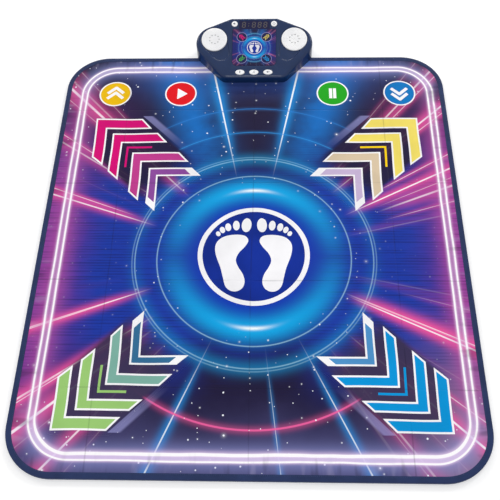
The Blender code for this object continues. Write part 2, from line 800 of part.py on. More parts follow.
def buttons():
    """Each button's name, its place on the face and its radii."""
    round_radii = (ROUND_BUTTON_RADIUS, ROUND_BUTTON_RADIUS)
    found = []
    for name, side in (("sound_button", -1), ("power_button", 1)):
        found.append((name, (side * ROUND_BUTTON_X, ROUND_BUTTON_Y), round_radii))
    for name, column in (("mode_button", -1), ("music_button", 0), ("volume_button", 1)):
        found.append((name, (column * OVAL_BUTTON_PITCH, OVAL_BUTTON_Y), OVAL_BUTTON_RADII))
    return found


def panel_outline(inset):
    """The screen panel: a rounded square with a narrower tab over the display."""
    body = rounded(
        rectangle(-PANEL_HALF_WIDTH, PANEL_FRONT_Y, PANEL_HALF_WIDTH, PANEL_SHOULDER_Y),
        [PANEL_CORNER_RADIUS] * 2 + [PANEL_SHOULDER_RADIUS] * 2,
        inset,
        math.radians(22.5),
    )
    tab = [(PANEL_TAB_HALF - inset, PANEL_SHOULDER_Y - inset), (PANEL_TAB_HALF - inset, PANEL_REAR_Y - inset)]
    mirrored = [(-x, y) for x, y in reversed(tab)]
    right_end = len(body) * 3 // 4
    return [*body[:right_end], *tab, *mirrored, *body[right_end:]]


def pocket_outline(side):
    """The shallow dish round a speaker, which runs out below it in a rounded lip."""
    upper = (side * SPEAKER_X, SPEAKER_Y)
    lower = (side * (SPEAKER_X - POCKET_LOW_INBOARD), SPEAKER_Y - POCKET_LOW_DROP)
    return two_circle_hull(upper, GRILLE_RADIUS + POCKET_MARGIN, lower, POCKET_LOW_RADIUS, 12)


def make_top_case(frame):
    """The upper shell: a wedge with walls, open below, with its holes, dishes, bosses and posts."""
    case = wedge("console_top_case", 0.0, 0.0, 0.0, NAVY_PLASTIC, EDGE_BEVEL)
    cut(case, wedge("top_case_hollow", WALL, -PAST, FACE_THICKNESS))
    for i, point in enumerate(case_boss_points()):
        ceiling = face_height(point[1]) - FACE_THICKNESS / math.cos(FACE_TILT)
        boss = cylinder(f"top_boss_{i}", point, BOSS_RADIUS, SHELF_TOP + SEAT_GAP, ceiling + BOSS_CAP)
        join(case, boss)
        pilot = CASE_SCREW[2] + PILOT_CLEARANCE
        cut(case, cylinder(f"top_pilot_{i}", point, pilot, 0.0, SHELF_TOP + TOP_BOSS_BORE))
    half = LOBE_CORNER_X
    tape_front = MAT_FAR_Y - BINDING_WIDTH - FIT_GAP
    cut(
        case,
        box("mat_step", (-half, 0.0, -PAST), (half, tape_front + SINK, MAT_TOP + SEAT_GAP)),
        box("binding_step", (-half, tape_front, -PAST), (half, STEP_Y, SHELF_LOW)),
    )
    for side, label in ((-1, "left"), (1, "right")):
        hole = circle((side * SPEAKER_X, SPEAKER_Y), GRILLE_RADIUS + FIT_GAP, GRILLE_STEPS)
        cut(
            case,
            flat(f"{label}_pocket", [pocket_outline(side)], -POCKET_DEPTH, PAST, frame=frame),
            flat(f"{label}_speaker_hole", [hole], -2 * PAST, PAST, frame=frame),
        )
    cut(
        case,
        flat("panel_seat", [panel_outline(-FIT_GAP)], -PANEL_THICKNESS - SEAT_GAP, PAST, frame=frame),
        flat("panel_window", [panel_outline(PANEL_LEDGE)], -2 * PAST, PAST, frame=frame),
    )
    for name, place, radii in buttons():
        hole = ellipse(radii, FIT_GAP, BUTTON_STEPS)
        cut(case, flat(f"{name}_hole", [hole], -2 * PAST, PAST, frame=frame, place=place))
    shoulder = SEAT_GAP - BOARD_DEPTH
    pin_low = shoulder - POST_PIN_LENGTH
    for i, place in enumerate(post_places()):
        post = cylinder(f"post_{i}", place, POST_RADIUS, shoulder, SINK - FACE_THICKNESS, frame=frame)
        pin_high = shoulder + SINK
        join(post, cylinder(f"post_pin_{i}", place, POST_PIN_RADIUS, pin_low, pin_high, frame=frame, steps=8))
        join(case, post)


def post_places():
    """Where the board's posts stand on the face's underside."""
    return [(side * POST_X, y) for side in (-1, 1) for y in POST_ROWS_Y]


def bay():
    """The battery bay's inside, as low and high corners, from the bottom case's floor up."""
    low_y = STEP_Y + BAY_FROM_EDGE
    return (-BAY_HALF_WIDTH, low_y, FLOOR_THICKNESS), (BAY_HALF_WIDTH, low_y + BAY_DEPTH, BAY_HEIGHT)


def door_box(grow):
    """The battery door's plan: low and high corners, with a tongue for its screw on the right."""
    low, high = bay()
    lip = DOOR_LEDGE - FIT_GAP + grow
    return (low[0] - lip, low[1] - lip), (high[0] + DOOR_TONGUE + grow, high[1] + lip)


def door_screw_point():
    """Where the battery door's screw stands."""
    low, high = bay()
    return high[0] + DOOR_TONGUE - BOSS_RADIUS, (low[1] + high[1]) / 2


def hinge_point():
    """The middle of the battery door's hinge axis, inside the door's rounded left edge."""
    low, high = door_box(0.0)
    half = DOOR_THICKNESS / 2
    return Vector((low[0] + half, (low[1] + high[1]) / 2, DOOR_CLEAR_OF_FLOOR + half))


def hinge_rod(name, radius, past_door, frame=None):
    """A hidden rod on the hinge axis, as long as the door and a length past each end."""
    low, high = door_box(0.0)
    half = (high[1] - low[1]) / 2 + past_door
    profile = [(0.0, half), (radius, half), (radius, -half), (0.0, -half)]
    location = (0.0, 0.0, 0.0) if frame else hinge_point()
    return turned(name, profile, None, frame, location, (math.radians(90), 0.0, 0.0), steps=12)


def make_bottom_case():
    """The lower shell: a shelf over the mat, a step down to the floor, and a tub for the batteries."""
    inset = WALL + SEAT_GAP
    half = LOBE_CORNER_X
    case = flat("console_bottom_case", [console_outline(inset)], 0.0, SHELF_TOP, NAVY_PLASTIC)
    cut(case, box("under_shelf", (-half, 0.0, -PAST), (half, STEP_Y, SHELF_LOW)))
    hollow = flat("tray_hollow", [console_outline(inset + TRAY_WALL)], FLOOR_THICKNESS, SHELF_TOP + PAST)
    keep_high = (half, STEP_Y + TRAY_WALL, SHELF_TOP + 2 * PAST)
    cut(hollow, box("tray_front_keep", (-half, 0.0, -PAST), keep_high))
    cut(case, hollow)
    add_battery_bay(case)
    for i, point in enumerate(case_boss_points()):
        join(case, cylinder(f"tray_boss_{i}", point, BOSS_RADIUS, FLOOR_THICKNESS / 2, SHELF_TOP))
        head_low = SEAT_GAP + FIT_GAP
        sink_top = head_low + CASE_SCREW[1] + SEAT_GAP
        cut(
            case,
            cylinder(f"case_sink_{i}", point, CASE_SCREW[0] + HEAD_CLEARANCE, -PAST, sink_top),
            cylinder(f"case_bore_{i}", point, CASE_SCREW[2] + HEAD_CLEARANCE, -PAST, SHELF_TOP + PAST),
        )
        screw(f"case_screw_{i + 1}", point, head_low, CASE_SCREW, CASE_SCREW_LENGTH)
    tip = 2 * SEAT_GAP + CLAMP_SCREW[1] + CLAMP_SCREW_LENGTH
    pilot = CLAMP_SCREW[2] + PILOT_CLEARANCE
    for i, point in enumerate(clamp_points()):
        join(case, cylinder(f"clamp_boss_{i}", point, BOSS_RADIUS, MAT_TOP + SEAT_GAP, tip + BOSS_CAP))
        cut(case, cylinder(f"clamp_pilot_{i}", point, pilot, -PAST, tip + SEAT_GAP))
    slot = tail_slot(TAIL_SLOT / 2, TAIL_SLOT / 2)
    cut(case, flat("tail_slot_in_shelf", [slot], -PAST, SHELF_TOP + PAST))


def add_battery_bay(case):
    """Adds the batteries' tub to the bottom case, and the door's rebate, hinge sockets and screw boss."""
    low, high = bay()
    tub_low = (low[0] - BAY_WALL, low[1] - BAY_WALL, FLOOR_THICKNESS / 2)
    tub_high = (high[0] + BAY_WALL, high[1] + BAY_WALL, high[2] + BAY_WALL)
    join(case, box("bay_tub", tub_low, tub_high))
    cut(case, box("bay_space", (low[0], low[1], -PAST), high))
    join(case, cylinder("door_boss", door_screw_point(), BOSS_RADIUS, FLOOR_THICKNESS / 2, SHELF_LOW))
    door_low, door_high = door_box(FIT_GAP)
    bore = DOOR_SCREW[2] + HEAD_CLEARANCE
    cut(
        case,
        box("door_rebate", (*door_low, -PAST), (*door_high, REBATE_DEPTH)),
        hinge_rod("hinge_sockets", HINGE_PIN_RADIUS + PILOT_CLEARANCE, FIT_GAP + HINGE_PIN_LENGTH),
        cylinder("door_screw_hole", door_screw_point(), bore, -PAST, SHELF_LOW - BOSS_CAP),
    )


def make_battery_door():
    """The door in the underside, which swings on its rounded left edge, and the screw that stays in it."""
    hinge = bpy.data.objects.new("battery_door_hinge", None)
    hinge.location = hinge_point()
    PARTS.objects.link(hinge)
    low, high = (Vector((*corner, hinge.location.z)) - hinge.location for corner in door_box(0.0))
    half = DOOR_THICKNESS / 2
    door = box("battery_door", (low.x, low.y, -half), (high.x, high.y, half), NAVY_PLASTIC, hinge)
    round_hinge_edge(door)
    join(door, hinge_rod("hinge_pins", HINGE_PIN_RADIUS, HINGE_PIN_LENGTH, hinge))
    head_radius, head_height, shank_radius = DOOR_SCREW
    head_low = SINK / 4 - half
    place = (door_screw_point()[0] - hinge.location.x, door_screw_point()[1] - hinge.location.y)
    sink_top = head_low + head_height + FIT_GAP / 2
    cut(
        door,
        cylinder("door_sink", place, head_radius + HEAD_CLEARANCE, -PAST, sink_top, frame=hinge),
        cylinder("door_bore", place, shank_radius + PILOT_CLEARANCE, -PAST, PAST, frame=hinge),
    )
    screw("battery_door_screw", place, head_low, DOOR_SCREW, DOOR_SCREW_LENGTH, hinge)


def round_hinge_edge(door):
    """Rounds the door's left edge about the hinge axis."""
    shape = bmesh.new()
    shape.from_mesh(door.data)
    left = min(vertex.co.x for vertex in shape.verts)
    long_edges = []
    for edge in shape.edges:
        start, end = (vertex.co for vertex in edge.verts)
        if start.x == left and end.x == left and start.y != end.y:
            long_edges.append(edge)
    offset = 0.49 * DOOR_THICKNESS
    bmesh.ops.bevel(shape, geom=long_edges, offset=offset, segments=4, profile=0.5, affect="EDGES")
    shape.to_mesh(door.data)
    shape.free()


# What the console holds.


def cell_places():
    """Each battery's centre Y and which end, -1 or 1, its spring is at."""
    low, _ = bay()
    first = low[1] + BAY_DEPTH / 2 - CELL_PITCH * (CELL_COUNT - 1) / 2
    return [(first + CELL_PITCH * i, -1 if i % 2 == 0 else 1) for i in range(CELL_COUNT)]


def cell_height():
    """The height of the batteries' axes: they lie against the bay's ceiling."""
    return BAY_HEIGHT - SEAT_GAP - CELL_RADIUS


def make_batteries():
    """Round cells, laid side by side with every second one turned end for end."""
    nub_tip = BAY_HALF_WIDTH - SEAT_GAP - CONTACT_PLATE_THICKNESS - SEAT_GAP
    top = nub_tip - CELL_NUB_LENGTH
    profile = [
        (0.0, nub_tip),
        (CELL_NUB_RADIUS, nub_tip),
        (CELL_NUB_RADIUS, top),
        (CELL_RADIUS - CELL_EDGE, top),
        (CELL_RADIUS, top - CELL_EDGE),
        (CELL_RADIUS, top - CELL_LENGTH + CELL_EDGE),
        (CELL_RADIUS - CELL_EDGE, top - CELL_LENGTH),
        (0.0, top - CELL_LENGTH),
    ]
    for i, (y, spring_end) in enumerate(cell_places()):
        turned(
            f"battery_cell_{i + 1}",
            profile,
            CELL,
            location=(0.0, y, cell_height()),
            rotation=(0.0, math.radians(-90 * spring_end), 0.0),
            steps=20,
        )


def spring_route(y, spring_end):
    """A spring's turns, from inside its contact plate to just short of the cell."""
    plate_face = BAY_HALF_WIDTH - SEAT_GAP - CONTACT_PLATE_THICKNESS
    cell_end = plate_face - SEAT_GAP - CELL_NUB_LENGTH - CELL_LENGTH
    start = plate_face + SPRING_WIRE_RADIUS * 0.5
    stop = -cell_end + SEAT_GAP + SPRING_WIRE_RADIUS
    points = []
    for step in range(SPRING_TURNS * SPRING_STEPS + 1):
        share = step / (SPRING_TURNS * SPRING_STEPS)
        angle = 2 * math.pi * step / SPRING_STEPS
        radius = SPRING_WIDE_RADIUS + (SPRING_NARROW_RADIUS - SPRING_WIDE_RADIUS) * share
        x = spring_end * (start + (stop - start) * share)
        points.append((x, y + radius * math.cos(angle), cell_height() + radius * math.sin(angle)))
    return points


def make_contacts():
    """Four contact plates that put the cells in series, with a spring at each negative end."""
    outer = BAY_HALF_WIDTH - SEAT_GAP
    inner = outer - CONTACT_PLATE_THICKNESS
    low_z, high_z = FLOOR_THICKNESS + SEAT_GAP, BAY_HEIGHT - SEAT_GAP
    half = CELL_PITCH / 2 - FIT_GAP
    cells = cell_places()
    groups = {
        "battery_contact_negative": (-1, cells[:1]),
        "battery_contact_link_left": (-1, cells[1:]),
        "battery_contact_link_right": (1, cells[:2]),
        "battery_contact_positive": (1, cells[2:]),
    }
    for name, (side, held) in groups.items():
        ends = sorted((side * inner, side * outer))
        plate = box(name, (ends[0], held[0][0] - half, low_z), (ends[1], held[-1][0] + half, high_z), STEEL)
        for i, (y, spring_end) in enumerate(held):
            if spring_end != side:
                continue
            join(plate, tube(f"{name}_coil_{i}", spring_route(y, spring_end), SPRING_WIRE_RADIUS))


def make_board(frame):
    """The circuit board, with its switches, lights and the tail's connector soldered on."""
    top = -BOARD_DEPTH
    low = top - BOARD_THICKNESS
    half = BOARD_HALF_WIDTH
    board = box("main_board", (-half, BOARD_FRONT_Y, low), (half, BOARD_REAR_Y, top), BOARD, frame)
    flange_low = -FACE_THICKNESS - SEAT_GAP - BUTTON_FLANGE_THICKNESS
    plunger_top = flange_low - BUTTON_TRAVEL - SEAT_GAP
    half = SWITCH_SIDE / 2
    for name, (x, y), _ in buttons():
        switch_low, switch_high = (x - half, y - half, top - SINK), (x + half, y + half, top + SWITCH_HEIGHT)
        join(
            board,
            box(f"{name}_switch", switch_low, switch_high, frame=frame),
            cylinder(f"{name}_plunger", (x, y), PLUNGER_RADIUS, top, plunger_top, frame=frame, steps=12),
        )
    light_top = top + LIGHT_HEIGHT
    for i, place in enumerate(light_places()):
        join(board, cylinder(f"light_{i}", place, LIGHT_RADIUS, top - SINK, light_top, frame=frame, steps=12))
    half = TAIL_WIDTH / 2 + CONNECTOR_SIDE
    socket_low = (-half, connector_y() - CONNECTOR_HALF_DEPTH, low - CONNECTOR_HEIGHT)
    socket_high = (half, connector_y() + CONNECTOR_HALF_DEPTH, low + SINK)
    join(board, box("tail_socket", socket_low, socket_high, frame=frame))
    for i, place in enumerate(post_places()):
        hole = POST_PIN_RADIUS + SEAT_GAP
        cut(board, cylinder(f"post_hole_{i}", place, hole, low - PAST, top + PAST, frame=frame, steps=8))


def light_places():
    """Where the four lights stand on the board."""
    return [(side * LIGHT_X, y) for side in (-1, 1) for y in LIGHT_ROWS_Y]


def connector_y():
    """The tail's connector, in the face's coordinates, straight above the tail's riser."""
    drop = BOARD_DEPTH + BOARD_THICKNESS + CONNECTOR_HEIGHT
    return (TAIL_Y - CONSOLE_FRONT_Y - drop * math.sin(FACE_TILT)) / math.cos(FACE_TILT)


def make_display(frame):
    """The four-digit display block that stands on the board under the panel's tab."""
    half = DISPLAY_HALF_WIDTH
    low = (-half, DISPLAY_Y - DISPLAY_HALF_HEIGHT, SEAT_GAP - BOARD_DEPTH)
    high = (half, DISPLAY_Y + DISPLAY_HALF_HEIGHT, -PANEL_THICKNESS - SEAT_GAP)
    box("display_module", low, high, DISPLAY, frame)


def make_panel(frame):
    """The printed acrylic panel over the display and the lights."""
    flat("screen_panel", [panel_outline(0.0)], -PANEL_THICKNESS, 0.0, SCREEN, frame)


def make_buttons(frame):
    """Button caps, each with a flange that stops it under the face."""
    high = -FACE_THICKNESS - SEAT_GAP
    low = high - BUTTON_FLANGE_THICKNESS
    for name, place, radii in buttons():
        shape = ellipse(radii, 0.0, BUTTON_STEPS)
        wide = ellipse(radii, BUTTON_FLANGE_WIDTH, BUTTON_STEPS)
        cap = flat(name, [shape], low + SINK, BUTTON_PROUD, WHITE_PLASTIC, frame, place)
        join(cap, flat(f"{name}_flange", [wide], low, high, frame=frame, place=place))


def make_speakers(frame):
    """White perforated grilles set in from behind, with a driver behind each."""
    lip_top = -FACE_THICKNESS - SEAT_GAP
    lip_low = lip_top - GRILLE_LIP
    inner = GRILLE_RADIUS - GRILLE_SKIRT
    wide = GRILLE_RADIUS + GRILLE_FLANGE
    cap = [
        (0.0, 0.0),
        (GRILLE_RADIUS - GRILLE_EDGE, 0.0),
        (GRILLE_RADIUS, -GRILLE_EDGE),
        (GRILLE_RADIUS, lip_top),
        (wide, lip_top),
        (wide, lip_low),
        (inner, lip_low),
        (inner, -GRILLE_PLATE),
        (0.0, -GRILLE_PLATE),
    ]
    for side, label in ((-1, "left"), (1, "right")):
        centre = (side * SPEAKER_X, SPEAKER_Y)
        name = f"speaker_grille_{label}"
        grille = turned(name, cap, WHITE_PLASTIC, frame, (*centre, 0.0), steps=GRILLE_STEPS)
        places = [centre]
        for ring in range(1, GRILLE_RINGS + 1):
            places += circle(centre, ring * GRILLE_RING_STEP, 6 * ring)
        holes = [circle(place, GRILLE_HOLE_RADIUS, 6) for place in places]
        cut(grille, flat(f"{label}_grille_holes", holes, -PAST, PAST, frame=frame))
        make_driver(frame, side, label, lip_low - SEAT_GAP)


def make_driver(frame, side, label, rim):
    """A speaker's basket, cone and magnet as one turned piece, and its lead."""
    basket_low = rim - DRIVER_DEPTH + MAGNET_DEPTH
    profile = [
        (0.0, rim - 0.0040),
        (0.0060, rim - 0.0055),
        (0.0075, rim - 0.0065),
        (DRIVER_RADIUS - 0.0030, rim - 0.0008),
        (DRIVER_RADIUS - 0.0020, rim),
        (DRIVER_RADIUS, rim),
        (DRIVER_RADIUS, rim - 0.0012),
        (DRIVER_RADIUS - 0.0025, rim - 0.0022),
        (MAGNET_RADIUS + 0.0020, basket_low + SEAT_GAP),
        (MAGNET_RADIUS, basket_low),
        (MAGNET_RADIUS, rim - DRIVER_DEPTH),
        (0.0, rim - DRIVER_DEPTH),
    ]
    location = (side * SPEAKER_X, SPEAKER_Y, 0.0)
    turned(f"speaker_driver_{label}", profile, DRIVER, frame, location)
    make_speaker_wire(frame, side, label, rim - DRIVER_DEPTH + MAGNET_DEPTH / 2)


def make_speaker_wire(frame, side, label, start_z):
    """A lead from the driver's magnet to the board's edge, with a little slack."""
    clear = SEAT_GAP + WIRE_RADIUS
    magnet_side = math.sqrt((MAGNET_RADIUS + clear) ** 2 - WIRE_FROM_AXIS**2)
    start_x = SPEAKER_X - magnet_side - SEAT_GAP
    end_x = BOARD_HALF_WIDTH + clear
    end_z = -BOARD_DEPTH - BOARD_THICKNESS / 2
    y = SPEAKER_Y + WIRE_FROM_AXIS
    route = [
        (side * start_x, y, start_z),
        (side * (start_x * 0.7 + end_x * 0.3), y, start_z - 2 * WIRE_SLACK),
        (side * (start_x * 0.3 + end_x * 0.7), y, start_z - WIRE_SLACK),
        (side * end_x, y, end_z),
    ]
    tube(f"speaker_wire_{label}", smooth_route(route, WIRE_STEPS), WIRE_RADIUS, RED_WIRE, frame)


def make_battery_wires():
    """Two leads from the bay's side walls up to the underside of the board."""
    clear = SEAT_GAP + WIRE_RADIUS
    wall = BAY_HALF_WIDTH + BAY_WALL + clear
    low = BAY_HEIGHT - WIRE_START_BELOW_BAY_TOP
    for name, side, y, material in (
        ("battery_wire_red", 1, cell_places()[-1][0], RED_WIRE),
        ("battery_wire_black", -1, cell_places()[0][0], BLACK_WIRE),
    ):
        board_low = face_height(y) - (BOARD_DEPTH + BOARD_THICKNESS) / math.cos(FACE_TILT)
        rise = board_low - clear - low
        route = [
            (side * wall, y, low),
            (side * (wall + WIRE_SLACK), y, low + rise * 0.35),
            (side * (wall + WIRE_SLACK / 2), y, low + rise * 0.7),
            (side * wall, y, low + rise),
        ]
        tube(name, smooth_route(route, WIRE_STEPS), WIRE_RADIUS, material)


def make_tail():
    """The flat tail: a foot between the sensor films, a bend, and a riser into the board's connector."""
    foot_z = LOWER_FILM_Z[1] + SEAT_GAP + FILM_THICKNESS / 2
    socket_low = BOARD_DEPTH + BOARD_THICKNESS + CONNECTOR_HEIGHT
    socket_z = FACE_FRONT_HEIGHT + connector_y() * math.sin(FACE_TILT) - socket_low * math.cos(FACE_TILT)
    top = socket_z - CONNECTOR_HALF_DEPTH * math.sin(FACE_TILT) - SEAT_GAP
    route = [(TAIL_Y - TAIL_FOOT, foot_z)]
    for step in range(TAIL_BEND_STEPS + 1):
        angle = math.radians(90) * (step / TAIL_BEND_STEPS - 1)
        y = TAIL_Y + TAIL_BEND * (math.cos(angle) - 1)
        z = foot_z + TAIL_BEND * (math.sin(angle) + 1)
        route.append((y, z))
    route.append((TAIL_Y, top))
    curve = bpy.data.curves.new("sensor_tail", "CURVE")
    curve.dimensions = "2D"
    curve.fill_mode = "NONE"
    curve.extrude = TAIL_WIDTH / 2
    spline = curve.splines.new("POLY")
    spline.points.add(len(route) - 1)
    for point, (y, z) in zip(spline.points, route):
        point.co = (y, z, 0.0, 1.0)
    guide = bpy.data.objects.new("sensor_tail_guide", curve)
    guide.rotation_euler = (math.radians(90), 0.0, math.radians(90))
    PARTS.objects.link(guide)
    tail = as_mesh(guide, "sensor_tail", FILM, PARTS)
    shell = tail.modifiers.new("thickness", "SOLIDIFY")
    shell.thickness = FILM_THICKNESS
    shell.offset = 0.0


def main():
    """Builds the mat, then the console on its far edge."""
    make_mat_layers()
    make_binding()
    make_zones()
    make_clamp_bar()
    frame = face_frame()
    make_top_case(frame)
    make_bottom_case()
    make_battery_door()
    make_batteries()
    make_contacts()
    make_board(frame)
    make_display(frame)
    make_panel(frame)
    make_buttons(frame)
    make_speakers(frame)
    make_battery_wires()
    make_tail()


main()
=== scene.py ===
"""An electronic dance mat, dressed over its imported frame.

The printed sheet, its pressing zones, the tape round its edge, the backing and the console's shell,
grilles, screen and buttons are built here. What is hidden inside keeps the frame's shapes.
"""

import logging
import math
from dataclasses import dataclass, field
from enum import Enum
from typing import Callable, Iterable, Optional, Sequence, Union

import bmesh
import bpy
from mathutils import Matrix, Vector, geometry, noise


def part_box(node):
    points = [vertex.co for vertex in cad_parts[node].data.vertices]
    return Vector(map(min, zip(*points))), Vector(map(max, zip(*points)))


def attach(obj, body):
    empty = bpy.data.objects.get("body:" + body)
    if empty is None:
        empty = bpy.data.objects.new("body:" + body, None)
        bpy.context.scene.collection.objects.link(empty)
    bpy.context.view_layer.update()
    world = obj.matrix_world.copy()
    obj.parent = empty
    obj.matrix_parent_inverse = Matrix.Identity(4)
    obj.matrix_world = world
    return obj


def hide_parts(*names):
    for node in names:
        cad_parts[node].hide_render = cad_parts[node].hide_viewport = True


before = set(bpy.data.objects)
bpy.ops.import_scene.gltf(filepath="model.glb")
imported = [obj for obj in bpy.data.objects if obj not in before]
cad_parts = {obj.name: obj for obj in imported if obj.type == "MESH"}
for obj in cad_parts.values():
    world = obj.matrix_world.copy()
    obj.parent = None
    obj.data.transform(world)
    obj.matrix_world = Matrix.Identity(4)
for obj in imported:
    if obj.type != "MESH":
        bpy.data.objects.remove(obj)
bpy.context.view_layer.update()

logging.basicConfig(level=logging.INFO, format="%(message)s")
log = logging.getLogger("dance_mat")

Point = tuple[float, float]
Loop = list[Point]
Colour = tuple[float, float, float]
Piece = bpy.types.Object
Material = bpy.types.Material
Socket = bpy.types.NodeSocket

MM = 0.001
MERGE_DISTANCE = 1e-7
THIN_EDGE = 1e-8
DRIFT_SEED = 1795695326


# Node trees.


def ink(code: str) -> Colour:
    """A linear colour from a hexadecimal screen colour, such as "E5007D"."""
    channels = [int(code[i : i + 2], 16) / 255 for i in (0, 2, 4)]
    return tuple(c / 12.92 if c <= 0.04045 else ((c + 0.055) / 1.055) ** 2.4 for c in channels)


def toned(colour: Colour, by: float) -> Colour:
    """A colour with its light multiplied."""
    return tuple(c * by for c in colour)


def operator(name: str, swapped: bool = False) -> Callable[["Value", "Number"], "Value"]:
    """A method of Value that puts it and another number through one arithmetic node."""

    def method(value: "Value", other: "Number") -> "Value":
        """The node's result."""
        return value.graph.maths(name, *((other, value) if swapped else (value, other)))

    return method


class Value:
    """A number in a node tree, which takes part in arithmetic."""

    __add__, __radd__ = operator("ADD"), operator("ADD", swapped=True)
    __sub__, __rsub__ = operator("SUBTRACT"), operator("SUBTRACT", swapped=True)
    __mul__, __rmul__ = operator("MULTIPLY"), operator("MULTIPLY", swapped=True)
    __truediv__ = operator("DIVIDE")
    least, most = operator("MINIMUM"), operator("MAXIMUM")

    def __init__(self, graph: "Graph", socket: Socket) -> None:
        """Keeps the socket that carries the number."""
        self.graph, self.socket = graph, socket

    def size(self) -> "Value":
        """The number without its sign."""
        return self.graph.maths("ABSOLUTE", self)

    def between(self, low: float, high: float) -> "Value":
        """A smooth step from 0 at low to 1 at high. A high below low makes a falling step."""
        node = self.graph.node("ShaderNodeMapRange", interpolation_type="SMOOTHSTEP")
        for name, value in (("Value", self), ("From Min", low), ("From Max", high), ("To Min", 0.0), ("To Max", 1.0)):
            self.graph.feed(node.inputs[name], value)
        return Value(self.graph, node.outputs["Result"])

    def bell(self, width: float) -> "Value":
        """A soft peak: 1 at 0, fading over width on both sides."""
        scaled = self / width
        return self.graph.maths("EXPONENT", scaled * scaled * -1.0)


Number = Union[float, int, Value]


class Graph:
    """A node tree and the nodes that are added to it."""

    def __init__(self, tree: bpy.types.NodeTree) -> None:
        """Keeps the tree."""
        self.tree = tree

    def node(self, kind: str, **settings: object) -> bpy.types.Node:
        """A new node.

        Args:
            kind: The node's type.
            settings: Its settings by name.

        Returns:
            The node.
        """
        made = self.tree.nodes.new(kind)
        for name, value in settings.items():
            setattr(made, name, value)
        return made

    def feed(self, target: Socket, value: object) -> None:
        """Links a value or socket to an input, or sets the input to a plain number or colour."""
        if isinstance(value, Value):
            value = value.socket
        if isinstance(value, Socket):
            self.tree.links.new(value, target)
        elif target.type == "RGBA" and len(value) == 3:
            target.default_value = (*value, 1.0)
        else:
            target.default_value = value

    def maths(self, operation: str, *values: Number) -> Value:
        """One arithmetic node on one, two or three numbers."""
        node = self.node("ShaderNodeMath", operation=operation)
        for target, value in zip(node.inputs, values):
            self.feed(target, value)
        return Value(self, node.outputs[0])

    def split(self, vector: object) -> tuple[Value, Value, Value]:
        """A vector's three numbers."""
        node = self.node("ShaderNodeSeparateXYZ")
        self.feed(node.inputs[0], vector)
        return tuple(Value(self, output) for output in node.outputs)

    def join(self, x: Number, y: Number, z: Number = 0.0) -> Socket:
        """A vector from three numbers."""
        node = self.node("ShaderNodeCombineXYZ")
        for target, value in zip(node.inputs, (x, y, z)):
            self.feed(target, value)
        return node.outputs[0]

    def mix(self, factor: Number, first: object, second: object) -> Socket:
        """A colour between two others."""
        node = self.node("ShaderNodeMix", data_type="RGBA", clamp_factor=True)
        self.feed(node.inputs[0], factor)
        self.feed(node.inputs[6], first)
        self.feed(node.inputs[7], second)
        return node.outputs[2]

    def noise(self, where: object, scale: float, detail: float = 3.0, rough: float = 0.55) -> Value:
        """Cloudy noise from 0 to 1."""
        node = self.node("ShaderNodeTexNoise")
        self.feed(node.inputs["Vector"], where)
        self.feed(node.inputs["Scale"], scale)
        self.feed(node.inputs["Detail"], detail)
        self.feed(node.inputs["Roughness"], rough)
        return Value(self, node.outputs["Fac"])

    def cells(self, where: object, scale: float, feature: str = "F1", flat: bool = False) -> bpy.types.Node:
        """A cell pattern, whose outputs are a distance and a random colour for each cell."""
        node = self.node("ShaderNodeTexVoronoi", feature=feature, voronoi_dimensions="2D" if flat else "3D")
        self.feed(node.inputs["Vector"], where)
        self.feed(node.inputs["Scale"], scale)
        return node

    def stretched(self, where: object, scale: Sequence[float]) -> Socket:
        """Coordinates stretched along each axis."""
        node = self.node("ShaderNodeVectorMath", operation="MULTIPLY")
        self.feed(node.inputs[0], where)
        self.feed(node.inputs[1], tuple(scale))
        return node.outputs[0]


# Finishes.


class Surface(Graph):
    """A new material with one principled shader, and the coordinates of the object it is on."""

    def __init__(self, name: str, metallic: float = 0.0, ior: float = 1.45, **constants: float) -> None:
        """Makes the material.

        Args:
            name: The finish's name.
            metallic: 1 for bare metal.
            ior: The index of refraction.
            constants: Other shader sockets that are the same all over, by name with _ for a space.
        """
        self.material = bpy.data.materials.new(name)
        self.material.use_nodes = True
        super().__init__(self.material.node_tree)
        self.shader = self.tree.nodes["Principled BSDF"]
        self.shader.inputs["Metallic"].default_value = metallic
        self.shader.inputs["IOR"].default_value = ior
        for key, value in constants.items():
            self.shader.inputs[key.replace("_", " ")].default_value = value
        self.place = self.node("ShaderNodeTexCoord").outputs["Object"]
        self.x, self.y, self.z = self.split(self.place)

    def finish(self, colour: object, roughness: Number, height: Value, depth: float) -> Material:
        """Connects the three things that vary over the surface.

        Args:
            colour: The base colour.
            roughness: The roughness.
            height: The relief, from 0 to about 1.
            depth: How deep a relief of 1 is, in metres.

        Returns:
            The material.
        """
        self.feed(self.shader.inputs["Base Color"], colour)
        self.feed(self.shader.inputs["Roughness"], roughness)
        bump = self.node("ShaderNodeBump")
        self.feed(bump.inputs["Height"], height)
        bump.inputs["Distance"].default_value = depth
        bump.inputs["Strength"].default_value = 1.0
        self.feed(self.shader.inputs["Normal"], bump.outputs["Normal"])
        return self.material


@dataclass(frozen=True)
class MouldedPlastic:
    """Injection-moulded plastic with a fine spark texture and a little handling shine."""

    name: str
    colour: Colour
    roughness: float = 0.42
    grain: float = 1500.0
    depth: float = 0.00004
    gloss: float = 0.30

    def make(self) -> Material:
        """The material."""
        s = Surface(self.name, Specular_IOR_Level=self.gloss)
        cloud = s.noise(s.place, 28.0, 4.0)
        spark = s.noise(s.place, self.grain, 2.0, 0.6)
        shade = toned(self.colour, 0.93)
        lift = tuple(min(1.0, c * 1.04 + 0.001) for c in self.colour)
        colour = s.mix(cloud.between(0.3, 0.7), shade, lift)
        rough = self.roughness - 0.06 + cloud * 0.10 + spark * 0.04
        return s.finish(colour, rough, spark + cloud * 0.4, self.depth)


